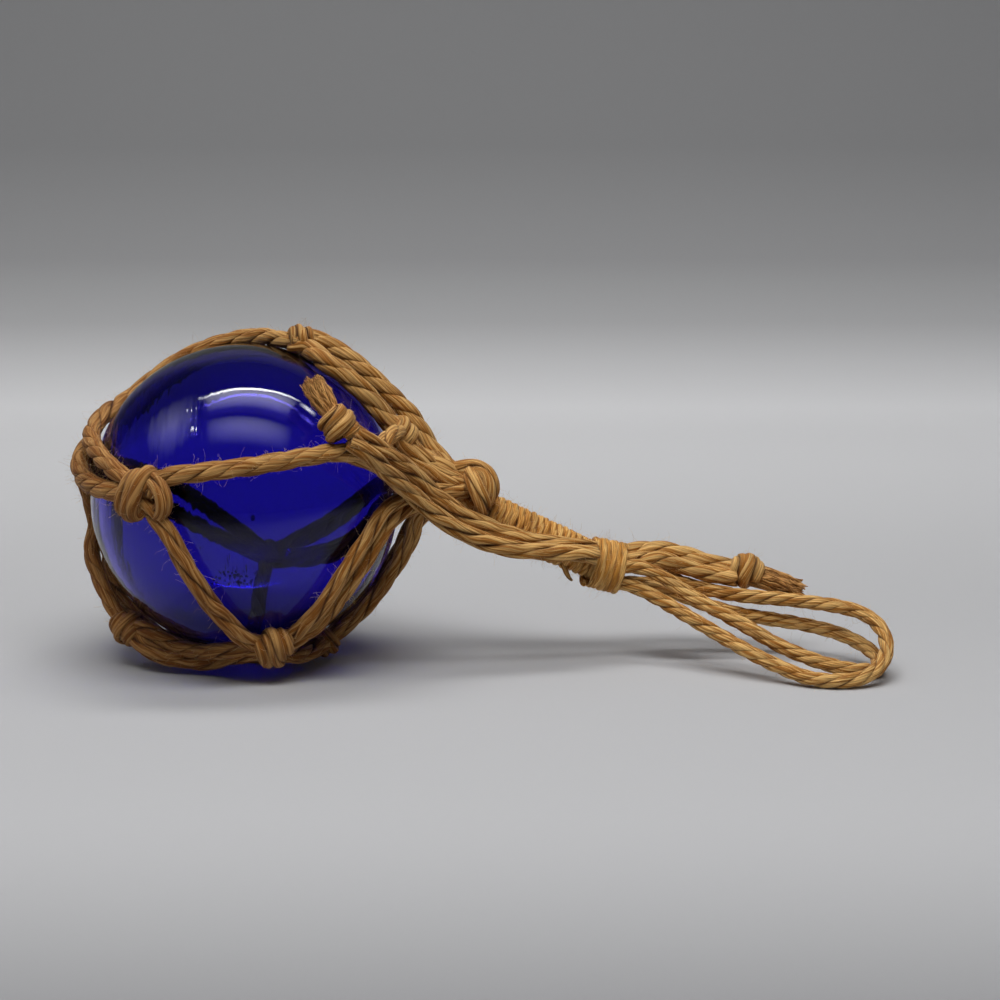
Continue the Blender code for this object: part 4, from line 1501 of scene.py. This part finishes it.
@dataclass
class FreeEnds:
    """The two hanging loops and the four loose ends with their knots."""

    cords: list[FreeCord] = field(default_factory=lambda: [
        FreeCord("laid_loop_front", "hanging_loop_front", [
            at(91.6, 2.5, 19.5), at(97, 1.0, 17.9), at(104.1, -3.7, 14.8), at(109.3, -7.7, 12.3),
            at(118.6, -14.6, 8.0), at(124.8, -19.2, 5.4), at(131.5, -23.6, 3.1), at(136.4, -26.6, 2.1),
            at(142, -27.9, 1.9), at(147, -27.3, 2.2), at(151.4, -24.8, 3.5), at(154.4, -20.6, 5.8),
            at(155.4, -15.6, 8.6), at(154.2, -10.4, 11.5), at(151, -5.8, 13.3), at(146.4, -2.2, 14.1),
            at(139.3, 1.0, 14.6), at(132.2, 3.0, 15.0), at(124.6, 4.4, 15.3), at(117.7, 6.2, 15.9),
            at(109.8, 8.6, 17.3), at(103.6, 9.9, 19.4), at(97.3, 10.3, 21.5), at(91.6, 8.9, 22.1)],
            "object", seed=21),
        FreeCord("laid_loop_back", "hanging_loop_back", [
            at(91.6, 0.9, 23.6), at(96.6, 1.4, 23.6), at(102, -0.2, 21.5), at(109.4, -4.2, 17.3),
            at(116.3, -8.4, 14.0), at(120.8, -10.8, 12.0), at(127.8, -14.8, 8.5), at(132.6, -17.2, 6.5),
            at(139.4, -20, 4.4), at(145.3, -20.8, 3.1), at(150, -19.4, 2.3), at(153.1, -16.0, 2.0),
            at(154.4, -11.2, 2.6), at(153.2, -6.0, 4.0), at(150.1, -1.6, 5.4), at(145, 2.2, 6.9),
            at(137.4, 4.6, 8.3), at(129.7, 5.3, 9.4), at(120, 4.9, 11.2), at(112.2, 4.7, 13.7),
            at(105.7, 5.1, 16.2), at(98.5, 6.0, 18.2), at(91.6, 6.7, 18.2)],
            "object", seed=22),
        FreeCord("laid_front_end_upper", "front_end_cord_upper", [
            at(28.4, -27.0, 61.2), at(33.2, -24.6, 57.6), at(37.8, -19.8, 53.6), at(42.2, -14.8, 48.8),
            at(46.0, -11.8, 44.4), at(50.0, -9.8, 40.8), at(54.1, -8.3, 37.9), at(58.5, -6.7, 35.4),
            at(63.3, -5.0, 33.2), at(68.2, -3.7, 31.5), at(73.4, -2.6, 30.3), at(78.5, -1.5, 29.3),
            at(82.6, -0.4, 28.6), at(85.8, 1.0, 27.7)],
            "knot", False, LayUp.YARNS, 23, swell=1.24, ends_in="tied_front_knot"),
        FreeCord("laid_front_end_lower", "front_end_cord_lower", [
            at(27.8, -30.6, 59.8), at(32.2, -29.0, 55.9), at(36.2, -23.8, 51.0), at(40.4, -18.8, 46.2),
            at(45.0, -15.0, 41.1), at(49.4, -13.0, 37.3), at(53.9, -11.6, 34.4), at(58.5, -10.2, 32.1),
            at(63.3, -8.9, 30.4), at(68.2, -7.7, 29.3), at(73.3, -6.6, 28.8), at(78.4, -5.6, 28.3),
            at(82.5, -4.6, 28.0), at(85.7, -3.0, 27.0)],
            "knot", False, LayUp.YARNS, 24, swell=1.24, ends_in="tied_front_knot"),
        FreeCord("laid_rear_end_upper", "rear_end_cord_upper", [
            at(91.6, 8.7, 25.9), at(97.3, 10.9, 25.8), at(102.8, 12.3, 25.6), at(107.9, 12.7, 24.6),
            at(112.4, 12.4, 23.2), at(116.4, 11.9, 22.0), at(121.4, 11.2, 21.2)],
            "knot", True, LayUp.LONG, 25, swell=1.22, ends_in="tied_rear_knot"),
        FreeCord("laid_rear_end_lower", "rear_end_cord_lower", [
            at(91.6, 4.9, 24.4), at(97.2, 6.9, 24.1), at(101.8, 8.4, 23.9), at(106.8, 8.9, 22.6),
            at(111.6, 8.6, 21.1), at(116.1, 8.1, 19.9), at(121.4, 7.4, 19.4)],
            "knot", True, LayUp.LONG, 26, swell=1.22, ends_in="tied_rear_knot"),
    ])
    ends: list[EndKnot] = field(default_factory=lambda: [
        EndKnot("tied_front_knot", "front_end_knot",
                NetKnot(at(24.8, -27.6, 63.0), at(28.2, -27, 59) - at(23, -27, 67), 9.2, 10.2, 9.6,
                        2.1, 0.15, 3.9 * MM, 0.2),
                Bristles("front_brush", at(25.2, -27.6, 62.0), at(19.0, -24.6, 73.8), 620, 1.9 * MM,
                         2.9 * MM, 0.11 * MM, -0.8 * MM, 5), 31),
        EndKnot("tied_rear_knot", "rear_end_knot",
                NetKnot(at(124.2, 9.4, 20.9), at(127.4, 9.0, 18.8) - at(121, 9.8, 22.8), 9.8, 10.4,
                        9.8, 2.1, 0.4, 4.6 * MM, 0.34),
                Bristles("rear_brush", at(122.6, 9.4, 20.8), at(138.4, 9.9, 15.6), 620, 3.1 * MM,
                         2.5 * MM, 0.12 * MM, 0.5 * MM, 6), 32),
    ])

    def make(self, jute: Material, frayed: Material, fibre: Material) -> None:
        """Build the cords first, then their knots, and log each cord's length.

        Args:
            jute: the cords' finish.
            frayed: the brushes' finish.
            fibre: the loose fibres' finish.
        """
        for cord in self.cords:
            cord.make(jute, fibre)
        pieces = {end.name: end.make(jute, frayed, fibre) for end in self.ends}
        for cord in self.cords:
            cord.declare(pieces[cord.ends_in] if cord.ends_in else [])


# ---------------------------------------------------------------------------------------------------
# The studio
# ---------------------------------------------------------------------------------------------------
AIM_HEIGHT = 0.04


class Role(Enum):
    """What a light of the studio is for."""

    LIGHTING = "lights the matt surfaces"
    MIRRORED = "shows in the glass"


@dataclass(frozen=True)
class Softbox:
    """A rectangular light that looks at the float's height, and dims towards its edges.

    along is how far down the tail it looks, tilt how much brighter its far edge is than its near
    one, edge how sharply it dims, and turn how many degrees it is turned about its own axis. role
    says whether it lights the matt jute and paper or is only there to be mirrored in the glass.
    """

    name: str
    place: Triple
    size: tuple[float, float]
    power: float
    along: float = 0.0
    tilt: float = 0.0
    edge: float = 1.2
    turn: float = 0.0
    role: Role = Role.MIRRORED

    def make(self) -> None:
        """Hang the light."""
        lamp = bpy.data.lights.new(self.name, "AREA")
        lamp.shape = "RECTANGLE"
        lamp.size, lamp.size_y = self.size
        lamp.energy = self.power
        lamp.use_nodes = True
        graph = Graph(lamp.node_tree)
        cloth = graph.node("ShaderNodeNewGeometry", output="Parametric")
        across = graph.parts(cloth)
        fade: Value = 1.0
        for axis in ("X", "Y"):
            fade = (1.0 - (abs((across.output(axis) * 2.0) - 1.0) ** self.edge)) * fade
        glow = fade * (1.0 + ((across.output("Y") - 0.5) * self.tilt))
        light = graph.node("ShaderNodeEmission", None, {"Color": (1.0, 1.0, 1.0, 1.0), "Strength": glow})
        graph.node("ShaderNodeOutputLight", None, {"Surface": light})
        light = standing(self.name, lamp)
        light.location = self.place
        light.visible_diffuse = self.role is Role.LIGHTING
        light.visible_glossy = light.visible_transmission = self.role is Role.MIRRORED
        back = (Vector(self.place) - Vector((self.along, 0.0, AIM_HEIGHT))).normalized()
        level = Vector((1.0, 0.0, 0.0)) - back * back.x
        level = (Matrix.Rotation(math.radians(self.turn), 3, back) @ level).normalized()
        light.rotation_euler = Matrix((level, back.cross(level), back)).transposed().to_euler()


@dataclass
class Studio:
    """A pale paper sweep, soft light from above and a camera at a small height."""

    target: Vector = field(default_factory=lambda: at(62.35, 0.0, 40.45))
    distance: float = 0.600
    elevation: float = 10.0
    lens: float = 88.16
    front: float = -1.2
    bend: float = 0.38
    curve: float = 0.30
    half_width: float = 1.3
    top: float = 0.9
    steps: int = 24
    room_glow: float = 0.06
    lights: tuple[Softbox, ...] = (
        Softbox("overhead_key", (0.05, 0.11, 0.94), (0.80, 0.24), 5.2, 0.05, edge=4.0,
                role=Role.LIGHTING),
        Softbox("front_key", (0.05, -0.45, 0.84), (0.90, 0.42), 9.4, 0.05, tilt=0.8, edge=4.0,
                role=Role.LIGHTING),
        Softbox("left_key", (-0.72, -0.14, 0.80), (0.60, 0.60), 3.2, role=Role.LIGHTING),
        Softbox("front_softbox", (0.09, -0.47, 0.82), (1.0, 0.40), 3.2, 0.02, tilt=2.0, edge=2.2),
        Softbox("overhead_softbox", (0.06, -0.04, 0.96), (0.94, 0.31), 4.4, 0.02, tilt=1.7, edge=4.0,
                turn=4.0),
        Softbox("overhead_strip", (0.05, 0.100, 0.96), (0.98, 0.045), 5.0, 0.02, edge=2.5, turn=9.0),
        Softbox("left_panel", (-0.64, -0.12, 0.72), (0.62, 0.66), 3.2),
        Softbox("left_lamp_high", (-0.463, -0.077, 0.842), (0.06, 0.06), 0.40),
        Softbox("left_lamp_low", (-0.450, -0.341, 0.782), (0.07, 0.07), 0.50),
        Softbox("right_lamp", (0.538, 0.113, 0.787), (0.18, 0.08), 1.0),
    )

    def camera(self) -> None:
        """Set up the camera."""
        data = bpy.data.cameras.new("studio_camera")
        data.lens = self.lens
        data.sensor_width = 36.0
        data.dof.use_dof = False
        rise = math.radians(self.elevation)
        camera = standing("studio_camera", data)
        camera.location = self.target + Vector((0.0, -math.cos(rise), math.sin(rise))) * self.distance
        camera.rotation_euler = (math.pi / 2 - rise, 0.0, 0.0)
        bpy.context.scene.camera = camera

    def sweep(self) -> None:
        """Lay the paper: flat on the table, then curving up behind."""
        profile = [(self.front, 0.0), (0.0, 0.0), (self.bend, 0.0)]
        for i in range(1, self.steps + 1):
            turn = math.pi / 2 * i / self.steps
            profile.append((self.bend + self.curve * math.sin(turn),
                            self.curve * (1.0 - math.cos(turn))))
        profile.append((self.bend + self.curve, self.top))
        points = [(side * self.half_width, y, z) for y, z in profile for side in (-1.0, 1.0)]
        faces = [(2 * i, 2 * i + 1, 2 * i + 3, 2 * i + 2) for i in range(len(profile) - 1)]
        moulded("paper_sweep", np.array(points), faces, PaperFinish().make())

    def room(self) -> None:
        """Fill the dark room with a little even light."""
        scene = bpy.context.scene
        scene.world = bpy.data.worlds.new("dim_room")
        scene.world.use_nodes = True
        graph = Graph(scene.world.node_tree)
        sockets = {"Color": (0.9, 0.93, 1.0, 1.0), "Strength": self.room_glow}
        dim = graph.node("ShaderNodeBackground", None, sockets)
        graph.node("ShaderNodeOutputWorld", None, {"Surface": dim})
        scene.view_settings.view_transform = "Standard"

    def make(self) -> None:
        """Build the sweep, the room and the lights."""
        self.sweep()
        self.room()
        for light in self.lights:
            light.make()


def main() -> None:
    """Build the float and its studio in order."""
    logging.basicConfig(level=logging.INFO, format="%(name)s %(message)s")
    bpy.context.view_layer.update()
    studio = Studio()
    studio.camera()

    # the first colour of each jute finish is its dark fibres, also painted as shade into grooves and
    # creases
    jute = JuteFinish("laid_jute", (0.066, 0.020, 0.003, 1.0), (0.39, 0.155, 0.023, 1.0),
                      (0.90, 0.57, 0.205, 1.0)).make()
    twine = JuteFinish("jute_twine", (0.11, 0.037, 0.006, 1.0), (0.54, 0.23, 0.034, 1.0),
                       (0.92, 0.58, 0.20, 1.0), grain=0.14 * MM).make()
    frayed = FibreFinish("frayed_jute_fibre", (0.30, 0.125, 0.028, 1.0), (0.78, 0.43, 0.14, 1.0)).make()
    fibre = FibreFinish().make()

    FreeEnds().make(jute, frayed, fibre)
    net = RopeNet().make(jute)
    for piece in net:
        enlist(piece, "jute_cord", "rope_net")
    Tail().make(jute, twine, fibre)
    enlist(BlownGlass().make(GlassFinish().make()), "cobalt_glass", "glass_ball")
    for piece in net:
        enlist(StrayFibres().make(piece.name + "_fibres", piece, fibre), "jute_cord", "rope_net")
    studio.make()


if __name__ == "__main__":
    main()
